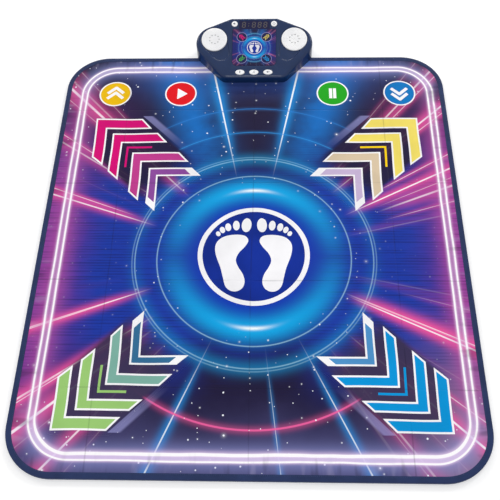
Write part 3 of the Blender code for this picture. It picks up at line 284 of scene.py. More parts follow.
@dataclass(frozen=True)
class BareMetal:
    """Plated steel with fine drawing marks."""

    name: str
    colour: Colour = (0.60, 0.61, 0.63)

    def make(self) -> Material:
        """The material."""
        s = Surface(self.name, metallic=1.0)
        marks = s.noise(s.stretched(s.place, (400.0, 2600.0, 400.0)), 1.0, 3.0)
        stain = s.noise(s.place, 60.0)
        colour = s.mix(stain.between(0.35, 0.75), toned(self.colour, 0.80), self.colour)
        return s.finish(colour, 0.22 + marks * 0.16, marks, 0.00002)


@dataclass(frozen=True)
class Woven:
    """Cloth of crossed threads, read in the plane of the mat."""

    name: str
    colour: Colour
    thread: float = 0.0006
    fuzz: float = 0.35
    depth: float = 0.00012

    def make(self) -> Material:
        """The material."""
        s = Surface(self.name, Sheen_Weight=self.fuzz, Sheen_Roughness=0.5, Specular_IOR_Level=0.25)
        turn = math.tau / (2 * self.thread)
        along = s.maths("SINE", (s.x + s.z) * turn)
        across = s.maths("SINE", (s.y + s.z) * turn)
        weave = along * across * 0.5 + 0.5
        cloud = s.noise(s.place, 35.0, 4.0)
        fibre = s.noise(s.place, 2400.0, 2.0)
        worn = s.mix(cloud.between(0.25, 0.8), toned(self.colour, 0.75), toned(self.colour, 1.2))
        colour = s.mix(weave * 0.45, toned(self.colour, 0.6), worn)
        return s.finish(s.mix(0.55, colour, worn), 0.72 + fibre * 0.15, weave + fibre * 0.5, self.depth)


@dataclass(frozen=True)
class OpenFoam:
    """Soft foam with cells at its cut faces."""

    name: str
    colour: Colour

    def make(self) -> Material:
        """The material."""
        s = Surface(self.name, Specular_IOR_Level=0.2)
        pore = Value(s, s.cells(s.place, 1100.0).outputs["Distance"])
        cloud = s.noise(s.place, 30.0)
        colour = s.mix(pore.between(0.1, 0.6), toned(self.colour, 0.62), self.colour)
        colour = s.mix(cloud * 0.3, colour, toned(self.colour, 0.9))
        return s.finish(colour, 0.86 + pore * 0.1, pore, 0.0003)


@dataclass(frozen=True)
class ClearFilm:
    """Milky polyester film with printed silver lines."""

    name: str
    tint: Colour = (0.60, 0.66, 0.69)

    def make(self) -> Material:
        """The material."""
        s = Surface(self.name, Specular_IOR_Level=0.5)
        step = s.maths("PINGPONG", s.x + s.y * 0.2, 0.009)
        line = step.between(0.0010, 0.0006)
        cloud = s.noise(s.place, 20.0)
        colour = s.mix(line * 0.8, s.mix(cloud, toned(self.tint, 0.85), self.tint), (0.70, 0.71, 0.72))
        return s.finish(colour, 0.22 + cloud * 0.12, line + cloud * 0.3, 0.00003)


@dataclass(frozen=True)
class CarbonInk:
    """Screen-printed carbon on film."""

    name: str

    def make(self) -> Material:
        """The material."""
        s = Surface(self.name, Specular_IOR_Level=0.35)
        mesh = s.maths("SINE", s.x * (math.tau / 0.0005)) * s.maths("SINE", s.y * (math.tau / 0.0005))
        cloud = s.noise(s.place, 90.0, 5.0)
        colour = s.mix(cloud, (0.022, 0.022, 0.024), (0.055, 0.055, 0.058))
        return s.finish(colour, 0.5 + cloud * 0.2, mesh * 0.3 + cloud, 0.00004)


@dataclass(frozen=True)
class CircuitBoard:
    """Green solder mask over copper tracks."""

    name: str

    def make(self) -> Material:
        """The material."""
        s = Surface(self.name, Coat_Weight=0.4, Coat_Roughness=0.15)
        node = s.cells(s.place, 260.0)
        node.distance = "CHEBYCHEV"
        edge = s.cells(s.place, 210.0, "DISTANCE_TO_EDGE")
        track = Value(s, edge.outputs["Distance"]).between(0.10, 0.05)
        pad = Value(s, node.outputs["Distance"]).between(0.16, 0.12)
        mask = s.mix(track, (0.008, 0.085, 0.030), (0.016, 0.170, 0.060))
        colour = s.mix(pad, mask, (0.62, 0.60, 0.52))
        return s.finish(colour, 0.30 + s.noise(s.place, 300.0) * 0.15, track + pad, 0.00004)


@dataclass(frozen=True)
class DisplayBody:
    """Black moulded body of a digit display, with a faint film on its face."""

    name: str

    def make(self) -> Material:
        """The material."""
        s = Surface(self.name)
        cloud = s.noise(s.place, 120.0, 4.0)
        colour = s.mix(cloud, (0.016, 0.016, 0.018), (0.040, 0.040, 0.044))
        return s.finish(colour, 0.35 + cloud * 0.2, s.noise(s.place, 1600.0), 0.00003)


@dataclass(frozen=True)
class SpeakerPaper:
    """Pulp cone and pressed basket of a small driver."""

    name: str

    def make(self) -> Material:
        """The material."""
        s = Surface(self.name, Specular_IOR_Level=0.3)
        fibre = s.noise(s.stretched(s.place, (700.0, 1900.0, 700.0)), 1.0, 5.0)
        colour = s.mix(fibre.between(0.3, 0.7), (0.030, 0.030, 0.034), (0.085, 0.083, 0.080))
        return s.finish(colour, 0.65 + fibre * 0.2, fibre, 0.00012)


@dataclass(frozen=True)
class CellWrap:
    """Printed sleeve of a battery cell: a metallic body with a coloured band near one end."""

    name: str
    body: Colour = (0.16, 0.17, 0.20)
    band: Colour = (0.55, 0.20, 0.04)

    def make(self) -> Material:
        """The material."""
        s = Surface(self.name, metallic=0.6)
        band = s.x.between(0.0105, 0.0110) * s.x.between(0.0235, 0.0230)
        foil = s.x.size().between(0.0232, 0.0236)
        cloud = s.noise(s.place, 200.0, 3.0)
        colour = s.mix(foil, s.mix(band, self.body, self.band), (0.66, 0.66, 0.66))
        return s.finish(s.mix(cloud * 0.2, colour, (0.05, 0.05, 0.05)), 0.26 + cloud * 0.14, cloud, 0.00002)


@dataclass(frozen=True)
class WireJacket:
    """Soft insulation of a thin lead."""

    name: str
    colour: Colour

    def make(self) -> Material:
        """The material."""
        s = Surface(self.name, Specular_IOR_Level=0.4)
        cloud = s.noise(s.place, 500.0, 3.0)
        colour = s.mix(cloud, toned(self.colour, 0.75), self.colour)
        return s.finish(colour, 0.38 + cloud * 0.15, cloud, 0.00003)


class VinylSurface(Surface):
    """Soft printed vinyl: a fine pebble grain, long slack ripples and the lines it was folded on, with painted shade
    along the folds and puckers and a painted highlight on the puckers' crests.
    """

    FOLDS_X = (-0.262, 0.002, 0.268)
    FOLDS_Y = (-0.300, -0.095, 0.120, 0.305)

    def __init__(self, name: str) -> None:
        """Makes the material with the sheen of the sheet."""
        super().__init__(name, Specular_IOR_Level=0.10)

    def folds(self) -> Value:
        """1 along each fold line, 0 elsewhere."""
        waver = (self.noise(self.place, 3.0, 1.0) - 0.5) * 0.006
        found: Optional[Value] = None
        for axis, lines in ((self.x, self.FOLDS_X), (self.y, self.FOLDS_Y)):
            for line in lines:
                near = (axis - line + waver).bell(0.0011)
                found = near if found is None else found.most(near)
        return found

    def sheet_finish(self, colour: object) -> Material:
        """Gives a printed colour the sheet's relief and shine, with painted shade along the folds and in the puckers'
        troughs and a painted highlight on their crests.

        Args:
            colour: The printed colour.

        Returns:
            The material.
        """
        fold = self.folds()
        broken = self.noise(self.place, 14.0, 2.0).between(0.35, 0.6)
        pebble = self.noise(self.place, 900.0, 2.0)
        slack = self.noise(self.stretched(self.place, (5.0, 9.0, 1.0)), 1.0, 3.0)
        puckers = self.puckers()
        # Painted shade: the printed colour is darkened along the fold lines, broken up by noise, and in the troughs of
        # the puckers.
        dark = self.mix(fold * broken * 0.30, colour, (0.004, 0.004, 0.02))
        dark = self.mix(puckers.between(0.46, 0.33) * 0.38, dark, (0.010, 0.010, 0.03))
        # Painted highlight: the crests of the puckers are lightened towards pale lilac.
        dark = self.mix(puckers.between(0.54, 0.70) * 0.18, dark, ink("B9B2D6"))
        rough = 0.34 + slack * 0.12 + pebble * 0.05
        height = pebble * 0.03 + slack * 1.8 + puckers * 3.4 - fold * 0.25
        return self.finish(dark, rough, height, 0.0012)

    def puckers(self) -> Value:
        """Short gathers that run in from the tape round the edge, about 0.5 away from it."""
        across = self.noise(self.stretched(self.place, (9.0, 42.0, 1.0)), 1.0, 2.0) - 0.5
        along = self.noise(self.stretched(self.place, (42.0, 9.0, 1.0)), 1.0, 2.0) - 0.5
        sides = self.x.size().between(0.335, 0.392)
        ends = self.y.size().between(0.385, 0.445)
        return across * sides + along * ends + 0.5


class AcrylicSurface(Surface):
    """Clear acrylic printed on its back: a glassy front with hairline scratches."""

    def __init__(self, name: str) -> None:
        """Makes the material with its gloss coat."""
        super().__init__(name, ior=1.49, Specular_IOR_Level=0.22)

    def sheet_finish(self, colour: object) -> Material:
        """Gives a printed colour the panel's gloss.

        Args:
            colour: The printed colour.

        Returns:
            The material.
        """
        scratch = self.noise(self.stretched(self.place, (90.0, 1400.0, 90.0)), 1.0, 2.0)
        cloud = self.noise(self.place, 40.0)
        return self.finish(colour, 0.12 + cloud * 0.08 + scratch * 0.04, scratch, 0.000008)


class Stock(Enum):
    """What a picture is printed on."""

    VINYL = VinylSurface
    ACRYLIC = AcrylicSurface


@dataclass(frozen=True)
class PrintedInk:
    """Flat ink of one colour, with a thin drift of tone and the surface of what it is printed on."""

    name: str
    colour: Colour
    stock: Stock = Stock.VINYL
    drift: float = 0.13

    def make(self) -> Material:
        """The material."""
        s = self.stock.value(self.name)
        cloud = s.noise(s.place, 9.0, 4.0)
        low = toned(self.colour, 1.0 - self.drift)
        return s.sheet_finish(s.mix(cloud.between(0.3, 0.7), low, self.colour))


@dataclass(frozen=True)
class RayFan:
    """One fan of light rays round the centre of the backdrop."""

    count: int
    core: float
    glow: float
    start: float
    strength: float
    seed: float


@dataclass(frozen=True)
class Backdrop:
    """A generic night-club backdrop: a glowing ring and fans of rays on a starry sky.

    It is drawn by arithmetic about one centre, so the sheet and the zones set in it share one picture.
    """

    name: str
    centre: Point
    scale: float = 1.0
    stock: Stock = Stock.VINYL
    face: Optional[Matrix] = None
    border: bool = True
    veil: float = 0.0

    FANS = (
        RayFan(13, 0.0027, 0.0150, 0.175, 0.95, 5.0),
        RayFan(27, 0.0020, 0.0110, 0.165, 0.95, 17.0),
        RayFan(45, 0.0010, 0.0055, 0.200, 0.70, 41.0),
    )
    BEAMS = (
        (79.0, 0.0026, 1.0),
        (101.5, 0.0026, 1.0),
        (-64.0, 0.0018, 0.7),
        (-83.0, 0.0011, 0.5),
        (-113.0, 0.0020, 0.75),
    )

    def make(self) -> Material:
        """The material."""
        s = self.stock.value(self.name)
        x, y = self.plane(s)
        r = s.maths("SQRT", x * x + y * y)
        angle = s.maths("ARCTAN2", y, x)
        flat = s.join(x, y)
        cloud = s.noise(flat, 6.5, 4.0, 0.6)
        band = (y.size() + (cloud - 0.5) * 0.08).between(0.31, 0.13)
        side = (x.size() + (cloud - 0.5) * 0.10).between(0.13, 0.27) * band
        colour = self.sky(s, x, y, r, band, cloud)
        scan = s.maths("SINE", y * (math.tau / 0.0058)) * 0.5 + 0.5
        drift = s.noise(s.join(x * 9.0, y * 160.0), 1.0, 3.0)
        colour = s.mix(band * r.between(0.11, 0.16) * scan * drift.between(0.35, 0.62) * 0.55, colour, ink("141A52"))
        ring = self.ring_glow(r, y)
        colour = s.mix(ring, colour, ink("0CABE9"))
        glint = (r - 0.146).bell(0.0035) * x.bell(0.030)
        for line, strength in ((0.1800, 0.45), (0.2210, 0.40), (0.2262, 0.22)):
            colour = s.mix((r - line).bell(0.0011) * strength, colour, ink("BFF0FF"))
        colour = s.mix(glint, colour, ink("F4FDFF"))
        calm = 1.0 if self.border else 0.45
        for fan in self.FANS:
            colour = self.rays(s, fan, colour, r, angle, calm)
        for degrees, core, strength in self.BEAMS:
            colour = self.beam(s, colour, x, y, math.radians(degrees), core, strength * calm)
        colour = self.arcs(s, colour, r, x, y, calm)
        colour = self.stars(s, flat, colour, side, ring, r)
        if self.border:
            colour = self.border_lines(s, self.streaks(s, colour, x, y))
        else:
            edge = x.size().between(0.185, 0.275).most(y.size().between(0.215, 0.300))
            colour = s.mix(edge * 0.62, colour, ink("140F3C"))
        if self.veil:
            inward, across = (x.size() + y.size()) * math.sqrt(0.5), (x.size() - y.size()).size() * math.sqrt(0.5)
            reach = x.size().most(y.size()).between(0.331, 0.322)
            veil = inward.between(0.215, 0.280) * across.between(0.0735, 0.0600) * reach
            colour = s.mix(veil * self.veil, colour, s.mix(y.between(0.1, -0.3), ink("1D1638"), ink("3B3252")))
        return s.sheet_finish(colour)

    def plane(self, s: Surface) -> tuple[Value, Value]:
        """The picture's own coordinates, in metres of the full-size picture."""
        if self.face is None:
            return (s.x - self.centre[0]) / self.scale, (s.y - self.centre[1]) / self.scale
        origin, along = self.face.to_translation(), self.face.to_3x3() @ Vector((0.0, 1.0, 0.0))
        climb = (s.y - origin.y) * along.y + (s.z - origin.z) * along.z
        return (s.x - self.centre[0]) / self.scale, (climb - self.centre[1]) / self.scale

    def sky(self, s: Surface, x: Value, y: Value, r: Value, band: Value, cloud: Value) -> object:
        """The ground colours: night above and below, deep blue in the middle, violet and pink at the sides, and a
        painted reflection over the lower right corner.
        """
        glow = (cloud - 0.5) * 0.09
        wide = x.size() + glow
        colour = s.mix((r + glow).between(0.09, 0.25), ink("0F34AE"), ink("1C1636"))
        colour = s.mix(wide.between(0.05, 0.14) * band, colour, ink("1A38A2"))
        colour = s.mix(wide.between(0.275, 0.365) * band * 0.80, colour, ink("5C2E92"))
        dusk = wide.between(0.19, 0.34) * (y.size() + glow).between(0.46, 0.24) * (1.0 - band)
        colour = s.mix(dusk * 0.60, colour, ink("5A2C78"))
        rim = (x.size() + glow * 0.5).between(0.315, 0.385)
        colour = s.mix(rim * (y + glow).size().between(0.42, 0.12) * 0.85, colour, ink("8F3F97"))
        colour = s.mix((y * -1.0 + glow).between(0.25, 0.39) * 0.55, colour, ink("55558A"))
        # Painted reflection: a pale lilac wash over the lower right corner stands in for light mirrored by the vinyl.
        corner = (x + glow).between(0.22, 0.37) * (y + glow).between(-0.08, -0.34)
        colour = s.mix(corner * 0.55, colour, ink("A487AE"))
        haze = (y + glow).between(0.35, 0.48) * x.size().between(0.36, 0.14)
        colour = s.mix(haze * 0.80, colour, ink("35549F"))
        beam = (x.size() - y * 0.30 - 0.03).bell(0.050) * y.between(0.12, 0.30)
        return s.mix(beam * cloud.between(0.15, 0.55) * 0.90, colour, ink("1470C4"))

    def ring_glow(self, r: Value, y: Value) -> Value:
        """The soft light of the ring, stronger above and below the middle."""
        upright = (y / (r + 0.001)).size()
        inner = (r - 0.148).bell(0.024) * (0.14 + upright * 0.82)
        outer = (r - 0.221).bell(0.014) * (0.06 + upright * 0.26)
        return inner.most(outer)

    def rays(self, s: Surface, fan: RayFan, colour: object, r: Value, angle: Value, calm: float) -> object:
        """Lays one fan of rays over a colour.

        Args:
            s: The surface.
            fan: The fan.
            colour: What lies under it.
            r: The distance from the centre.
            angle: The direction from the centre.
            calm: What the fan's strength is multiplied by.

        Returns:
            The colour with the rays.
        """
        turn = angle * (fan.count / math.tau)
        index = s.maths("ROUND", turn)
        lot = s.node("ShaderNodeTexWhiteNoise", noise_dimensions="2D")
        s.feed(lot.inputs["Vector"], s.join(s.maths("FLOORED_MODULO", index, float(fan.count)), fan.seed))
        first, second, third = s.split(lot.outputs["Color"])
        away = (turn - index - (first - 0.5) * 0.5).size() * r * (math.tau / fan.count) / (r * 2.2 + 0.25)
        level = s.maths("COSINE", angle).size()
        fade = (r - second * 0.09 - fan.start).between(0.0, 0.09)
        fade = fade * level.between(0.50, 0.74) * level.between(0.985, 0.930)
        strength = fade * third.between(0.10, 0.70) * (fan.strength * calm)
        colour = s.mix(away.bell(fan.glow) * strength * 0.80, colour, ink("EE559C"))
        return s.mix(away.between(fan.core, fan.core * 0.35) * strength, colour, ink("FFF6FC"))

    def beam(self, s: Surface, colour: object, x: Value, y: Value, turn: float, core: float, strength: float) -> object:
        """Lays one blue-white beam over a colour, which widens away from the centre.

        Args:
            s: The surface.
            colour: What lies under it.
            x: The place across the picture.
            y: The place up the picture.
            turn: The beam's direction in radians.
            core: Half the width of its bright line at half a metre.
            strength: How bright it is.

        Returns:
            The colour with the beam.
        """
        along = x * math.cos(turn) + y * math.sin(turn)
        away = (x * math.sin(turn) - y * math.cos(turn)).size() / (along.most(0.0) * 2.0 + 0.1)
        fade = along.between(0.17, 0.33) * strength
        colour = s.mix(away.bell(core * 6.0) * fade * 0.75, colour, ink("1E8FE0"))
        return s.mix(away.between(core, core * 0.4) * fade, colour, ink("F2FAFF"))

    def arcs(self, s: Surface, colour: object, r: Value, x: Value, y: Value, calm: float) -> object:
        """Lays a pink arc below the ring and two blue ones above it over a colour."""
        for radius, width, low, tint, strength in (
            (0.3270, 0.0022, True, "F0609F", 0.85),
            (0.2900, 0.0012, False, "2E8FDC", 0.70),
            (0.3520, 0.0014, False, "2A7ED0", 0.60),
        ):
            upward = y * (-1.0 if low else 1.0)
            fade = upward.between(0.16, 0.27) * x.size().between(0.21, 0.15) * (strength * calm)
            colour = s.mix((r - radius).bell(width * 3.2) * fade * 0.35, colour, ink(tint))
            colour = s.mix((r - radius).size().between(width, width * 0.5) * fade, colour, ink(tint))
        return colour

    def stars(self, s: Surface, flat: object, colour: object, side: Value, ring: Value, r: Value) -> object:
        """Scatters stars over the dark parts of the sky."""
        clear = (1.0 - side * 0.9) * (1.0 - ring) * r.between(0.150, 0.165)
        for scale, radius, share in ((24.0, 0.0019, 0.52), (47.0, 0.0011, 0.70)):
            node = s.cells(flat, scale, flat=True)
            lot, other, _ = s.split(node.outputs["Color"])
            size = (0.45 + other * 0.75) * radius * scale
            near = Value(s, node.outputs["Distance"]) / size
            shine = near.between(1.0, 0.55) * lot.between(share, share + 0.04)
            halo = near.bell(1.7) * lot.between(0.90, 0.98) * 0.5
            colour = s.mix(shine.most(halo) * clear, colour, ink("F4F6FF"))
        return colour

    def streaks(self, s: Surface, colour: object, x: Value, y: Value) -> object:
        """A pale slanting band beside each arrow."""
        inward, across = (x.size() + y.size()) * math.sqrt(0.5), (y.size() - x.size()) * math.sqrt(0.5)
        ends = inward.between(0.270, 0.380) * y.size().between(0.3335, 0.3325)
        streak = across.between(0.0685, 0.0695) * across.between(0.0860, 0.0800) * ends * 0.42
        return s.mix(streak, colour, ink("A9A8E6"))

    def border_lines(self, s: Surface, colour: object) -> object:
        """Two parallel white lines with rounded corners and a soft glow, near the edge of the mat, made wider and
        brighter towards the bottom edge as a painted sheen.
        """
        half, radius, gap = (0.3646, 0.4172), 0.068, 0.0056
        qx = (s.x - 0.0054).size() - (half[0] - radius)
        qy = s.y.size() - (half[1] - radius)
        outside = s.maths("SQRT", qx.most(0.0) * qx.most(0.0) + qy.most(0.0) * qy.most(0.0))
        away = outside + qx.most(qy).least(0.0) - radius
        sides = s.x.size().between(0.27, 0.36) * s.y.size().between(0.40, 0.30)
        tint = s.mix(sides, ink("9AA0E0"), ink("BE52A4"))
        # Painted sheen: towards the bottom edge the pale fill between the lines is stronger, the glow a little stronger
        # and the outer line wider.
        low = s.y.between(-0.345, -0.405)
        colour = s.mix(away.bell(0.021) * (0.46 + low * 0.04), colour, tint)
        fill = away.size().between(gap + 0.001, gap - 0.002) * (0.40 + low * 0.22 - sides * 0.24)
        colour = s.mix(fill, colour, ink("DDCFF2"))
        for sign, seed in ((1.0, 3.1), (-1.0, 8.4)):
            sway = s.noise(s.join(s.x, s.y, seed), 8.0, 2.0) - 0.5
            line = (away + sign * gap + sway * (0.0062 - sides * 0.0030)).size()
            line = line / (low * 0.75 + 1.0) if sign > 0 else line
            colour = s.mix(line.bell(0.0034) * 0.72, colour, ink("EFD2F2"))
            colour = s.mix(line.between(0.0020, 0.0011), colour, ink("FEFCFF"))
        return colour


# Outlines. A loop is a closed outline in one plane, as points in order.


def ring_pairs(loop: Sequence[object]) -> Iterable[tuple[object, object]]:
    """Each item of a closed loop with the next."""
    return zip(loop, (*loop[1:], loop[0]))


def twice_area(loop: Sequence[Point]) -> float:
    """Twice the area inside an outline, negative for a clockwise one."""
    return sum(a[0] * b[1] - a[1] * b[0] for a, b in ring_pairs(loop))


def loop_area(loop: Sequence[Point]) -> float:
    """The area inside an outline."""
    return abs(twice_area(loop)) / 2


def extent(loop: Sequence[Point]) -> tuple[float, ...]:
    """The outline's low x and y, then its high x and y."""
    return tuple(pick(p[i] for p in loop) for pick in (min, max) for i in (0, 1))


def arc(centre: Point, radius: float, turns: Iterable[float]) -> Loop:
    """Points round a centre, at angles in radians."""
    return [(centre[0] + radius * math.cos(a), centre[1] + radius * math.sin(a)) for a in turns]


def circle(centre: Point, radius: float, steps: int = 48) -> Loop:
    """A circle, anticlockwise."""
    return arc(centre, radius, [math.tau * i / steps for i in range(steps)])


def oval(centre: Point, radii: Point, steps: int = 48, lean: float = 0.0) -> Loop:
    """An ellipse, leaning by an angle."""
    return moved(turned([(radii[0] * x, radii[1] * y) for x, y in circle((0.0, 0.0), 1.0, steps)], lean), centre)


def box_loop(low_x: float, low_y: float, high_x: float, high_y: float) -> Loop:
    """The corners of a rectangle, anticlockwise."""
    return [(low_x, low_y), (high_x, low_y), (high_x, high_y), (low_x, high_y)]


def turned(points: Iterable[Point], angle: float) -> Loop:
    """Points turned about the origin."""
    cos, sin = math.cos(angle), math.sin(angle)
    return [(x * cos - y * sin, x * sin + y * cos) for x, y in points]


def moved(points: Iterable[Point], offset: Point) -> Loop:
    """Points moved by an offset."""
    return [(x + offset[0], y + offset[1]) for x, y in points]


def scaled(points: Iterable[Point], by: float) -> Loop:
    """Points scaled about the origin."""
    return [(x * by, y * by) for x, y in points]


def flipped(points: Sequence[Point], side_x: int = -1, side_y: int = 1) -> Loop:
    """Points mirrored in one or both axes, still in their first sense of rotation."""
    found = [(x * side_x, y * side_y) for x, y in points]
    return found if side_x * side_y > 0 else found[::-1]


def inset(corners: Sequence[Point], by: float) -> Loop:
    """An anticlockwise polygon whose sides all move inwards."""
    found = []
    for i, corner in enumerate(corners):
        here = Vector(corner)
        before = (here - Vector(corners[i - 1])).normalized()
        after = (Vector(corners[(i + 1) % len(corners)]) - here).normalized()
        normal = Vector((-after.y, after.x))
        bisector = (Vector((-before.y, before.x)) + normal).normalized()
        found.append(tuple(here + bisector * (by / bisector.dot(normal))))
    return found


def rounded(corners: Sequence[Point], radii: Sequence[float], by: float = 0.0, step: float = 4.0) -> Loop:
    """A convex polygon with an arc at each corner.

    Args:
        corners: The corners, anticlockwise.
        radii: The radius at each corner.
        by: How far every side moves inwards.
        step: The most that an arc turns at a point, in degrees.

    Returns:
        The outline. Its number of points doesn't depend on how far it is inset.
    """
    found: Loop = []
    sharp = [Vector(corner) for corner in inset(corners, by)]
    for i, here in enumerate(sharp):
        before = (here - sharp[i - 1]).normalized()
        after = (sharp[(i + 1) % len(sharp)] - here).normalized()
        turn = before.angle(after)
        radius = max(radii[i] - by, 0.0002)
        start = here - before * (radius * math.tan(turn / 2))
        centre = start + Vector((-before.y, before.x)) * radius
        count = math.ceil(math.degrees(turn) / step)
        found += [moved(turned([start - centre], turn * k / count), centre)[0] for k in range(count + 1)]
    return found


def belt(first: Point, first_radius: float, second: Point, second_radius: float, steps: int = 20) -> Loop:
    """The outline round two circles. The first is the larger or equal one."""
    apart = Vector(second) - Vector(first)
    along = math.atan2(apart.y, apart.x)
    wrap = math.acos((first_radius - second_radius) / apart.length)
    spans = ((first, first_radius, wrap, math.tau - 2 * wrap), (second, second_radius, -wrap, 2 * wrap))
    found: Loop = []
    for centre, radius, start, turn in spans:
        found += arc(centre, radius, [along + start + turn * i / steps for i in range(steps + 1)])
    return found


def smooth_loop(points: Sequence[Point], steps: int = 4) -> Loop:
    """A closed smooth curve through points."""
    found, count = [], len(points)
    for i in range(count):
        a, b, c, d = (Vector(points[(i + k) % count]) for k in (-1, 0, 1, 2))
        for k in range(steps):
            t = k / steps
            bend = 2 * b + (c - a) * t + (2 * a - 5 * b + 4 * c - d) * t**2 + (3 * b - a - 3 * c + d) * t**3
            found.append(tuple(bend / 2))
    return found


def anticlockwise(loop: Sequence[Point]) -> Loop:
    """An outline in the anticlockwise sense."""
    return list(loop) if twice_area(loop) > 0 else list(loop)[::-1]


def bar(start: Point, end: Point, width: float) -> Loop:
    """A straight bar with square ends."""
    along = (Vector(end) - Vector(start)).normalized()
    side = Vector((-along.y, along.x)) * (width / 2)
    corners = [Vector(start) - side, Vector(end) - side, Vector(end) + side, Vector(start) + side]
    return [tuple(corner) for corner in corners]


def divided(loop: Sequence[Point], step: float) -> Loop:
    """An outline with points added, so that no side is longer than a step."""
    found: Loop = []
    for a, b in ring_pairs(loop):
        count = max(1, math.ceil(math.dist(a, b) / step))
        found += [(a[0] + (b[0] - a[0]) * k / count, a[1] + (b[1] - a[1]) * k / count) for k in range(count)]
    return found


class Region:
    """The inside of an outline."""

    def __init__(self, loop: Loop) -> None:
        """Keeps the sides of the outline and its box."""
        self.sides = [(*a, *b) for a, b in ring_pairs(loop)]
        self.low_x, self.low_y, self.high_x, self.high_y = extent(loop)

    def holds(self, x: float, y: float) -> bool:
        """Whether a point is inside."""
        if not (self.low_x < x < self.high_x and self.low_y < y < self.high_y):
            return False
        crossed = [
            (ay > y) != (by > y) and x < (bx - ax) * (y - ay) / (by - ay) + ax
            for ax, ay, bx, by in self.sides
        ]
        return sum(crossed) % 2 == 1


@dataclass(frozen=True)
class Shape:
    """An outline printed in one finish."""

    outline: Loop
    finish: str


# Meshes.


def linked(name: str, data: bpy.types.ID) -> Piece:
    """A new object in the scene."""
    made = bpy.data.objects.new(name, data)
    bpy.context.scene.collection.objects.link(made)
    return made


def smooth(mesh: bpy.types.Mesh, sharp: float) -> None:
    """Shades a mesh smooth up to an angle in degrees."""
    mesh.polygons.foreach_set("use_smooth", [True] * len(mesh.polygons))
    mesh.set_sharp_from_angle(angle=math.radians(sharp))


def new_piece(name: str, mesh: bpy.types.Mesh, sharp: float = 35.0) -> Piece:
    """Links a mesh as an object at the origin, smooth up to an angle in degrees."""
    smooth(mesh, sharp)
    return linked(name, mesh)


def mend(mesh: bpy.types.Mesh, poles: bool = False) -> None:
    """Merges a closed mesh's doubles, and the thin faces at its poles, and turns its faces outwards."""
    shape = bmesh.new()
    shape.from_mesh(mesh)
    bmesh.ops.remove_doubles(shape, verts=shape.verts, dist=MERGE_DISTANCE)
    if poles:
        bmesh.ops.dissolve_degenerate(shape, edges=shape.edges, dist=THIN_EDGE)
    bmesh.ops.recalc_face_normals(shape, faces=shape.faces)
    shape.to_mesh(mesh)
    shape.free()


def wall_faces(a: int, b: int, count: int, turned_over: bool = False) -> list[tuple[int, ...]]:
    """The faces between two rings of points that start at a and b, in either sense."""
    faces = [(a + i, a + (i + 1) % count, b + (i + 1) % count, b + i) for i in range(count)]
    return [(face[0], *face[:0:-1]) for face in faces] if turned_over else faces


def compacted(
    vertices: Sequence[Sequence[float]], faces: Sequence[Sequence[int]]
) -> tuple[list[Sequence[float]], list[tuple[int, ...]]]:
    """Vertices and faces without the vertices that no face has."""
    used = sorted({i for face in faces for i in face})
    renumber = {old: new for new, old in enumerate(used)}
    return [vertices[i] for i in used], [tuple(renumber[i] for i in face) for face in faces]


def solid_from(
    name: str,
    vertices: Sequence[Sequence[float]],
    faces: Sequence[Sequence[int]],
    materials: Sequence[Material] = (),
    slots: Sequence[int] = (),
    sharp: float = 35.0,
    poles: bool = False,
) -> Piece:
    """A closed piece from vertices and faces, with its doubles merged and its faces turned outwards."""
    mesh = bpy.data.meshes.new(name)
    mesh.from_pydata([tuple(v) for v in vertices], [], [list(f) for f in faces])
    for material in materials:
        mesh.materials.append(material)
    if slots:
        mesh.polygons.foreach_set("material_index", list(slots))
    mend(mesh, poles)
    return new_piece(name, mesh, sharp)


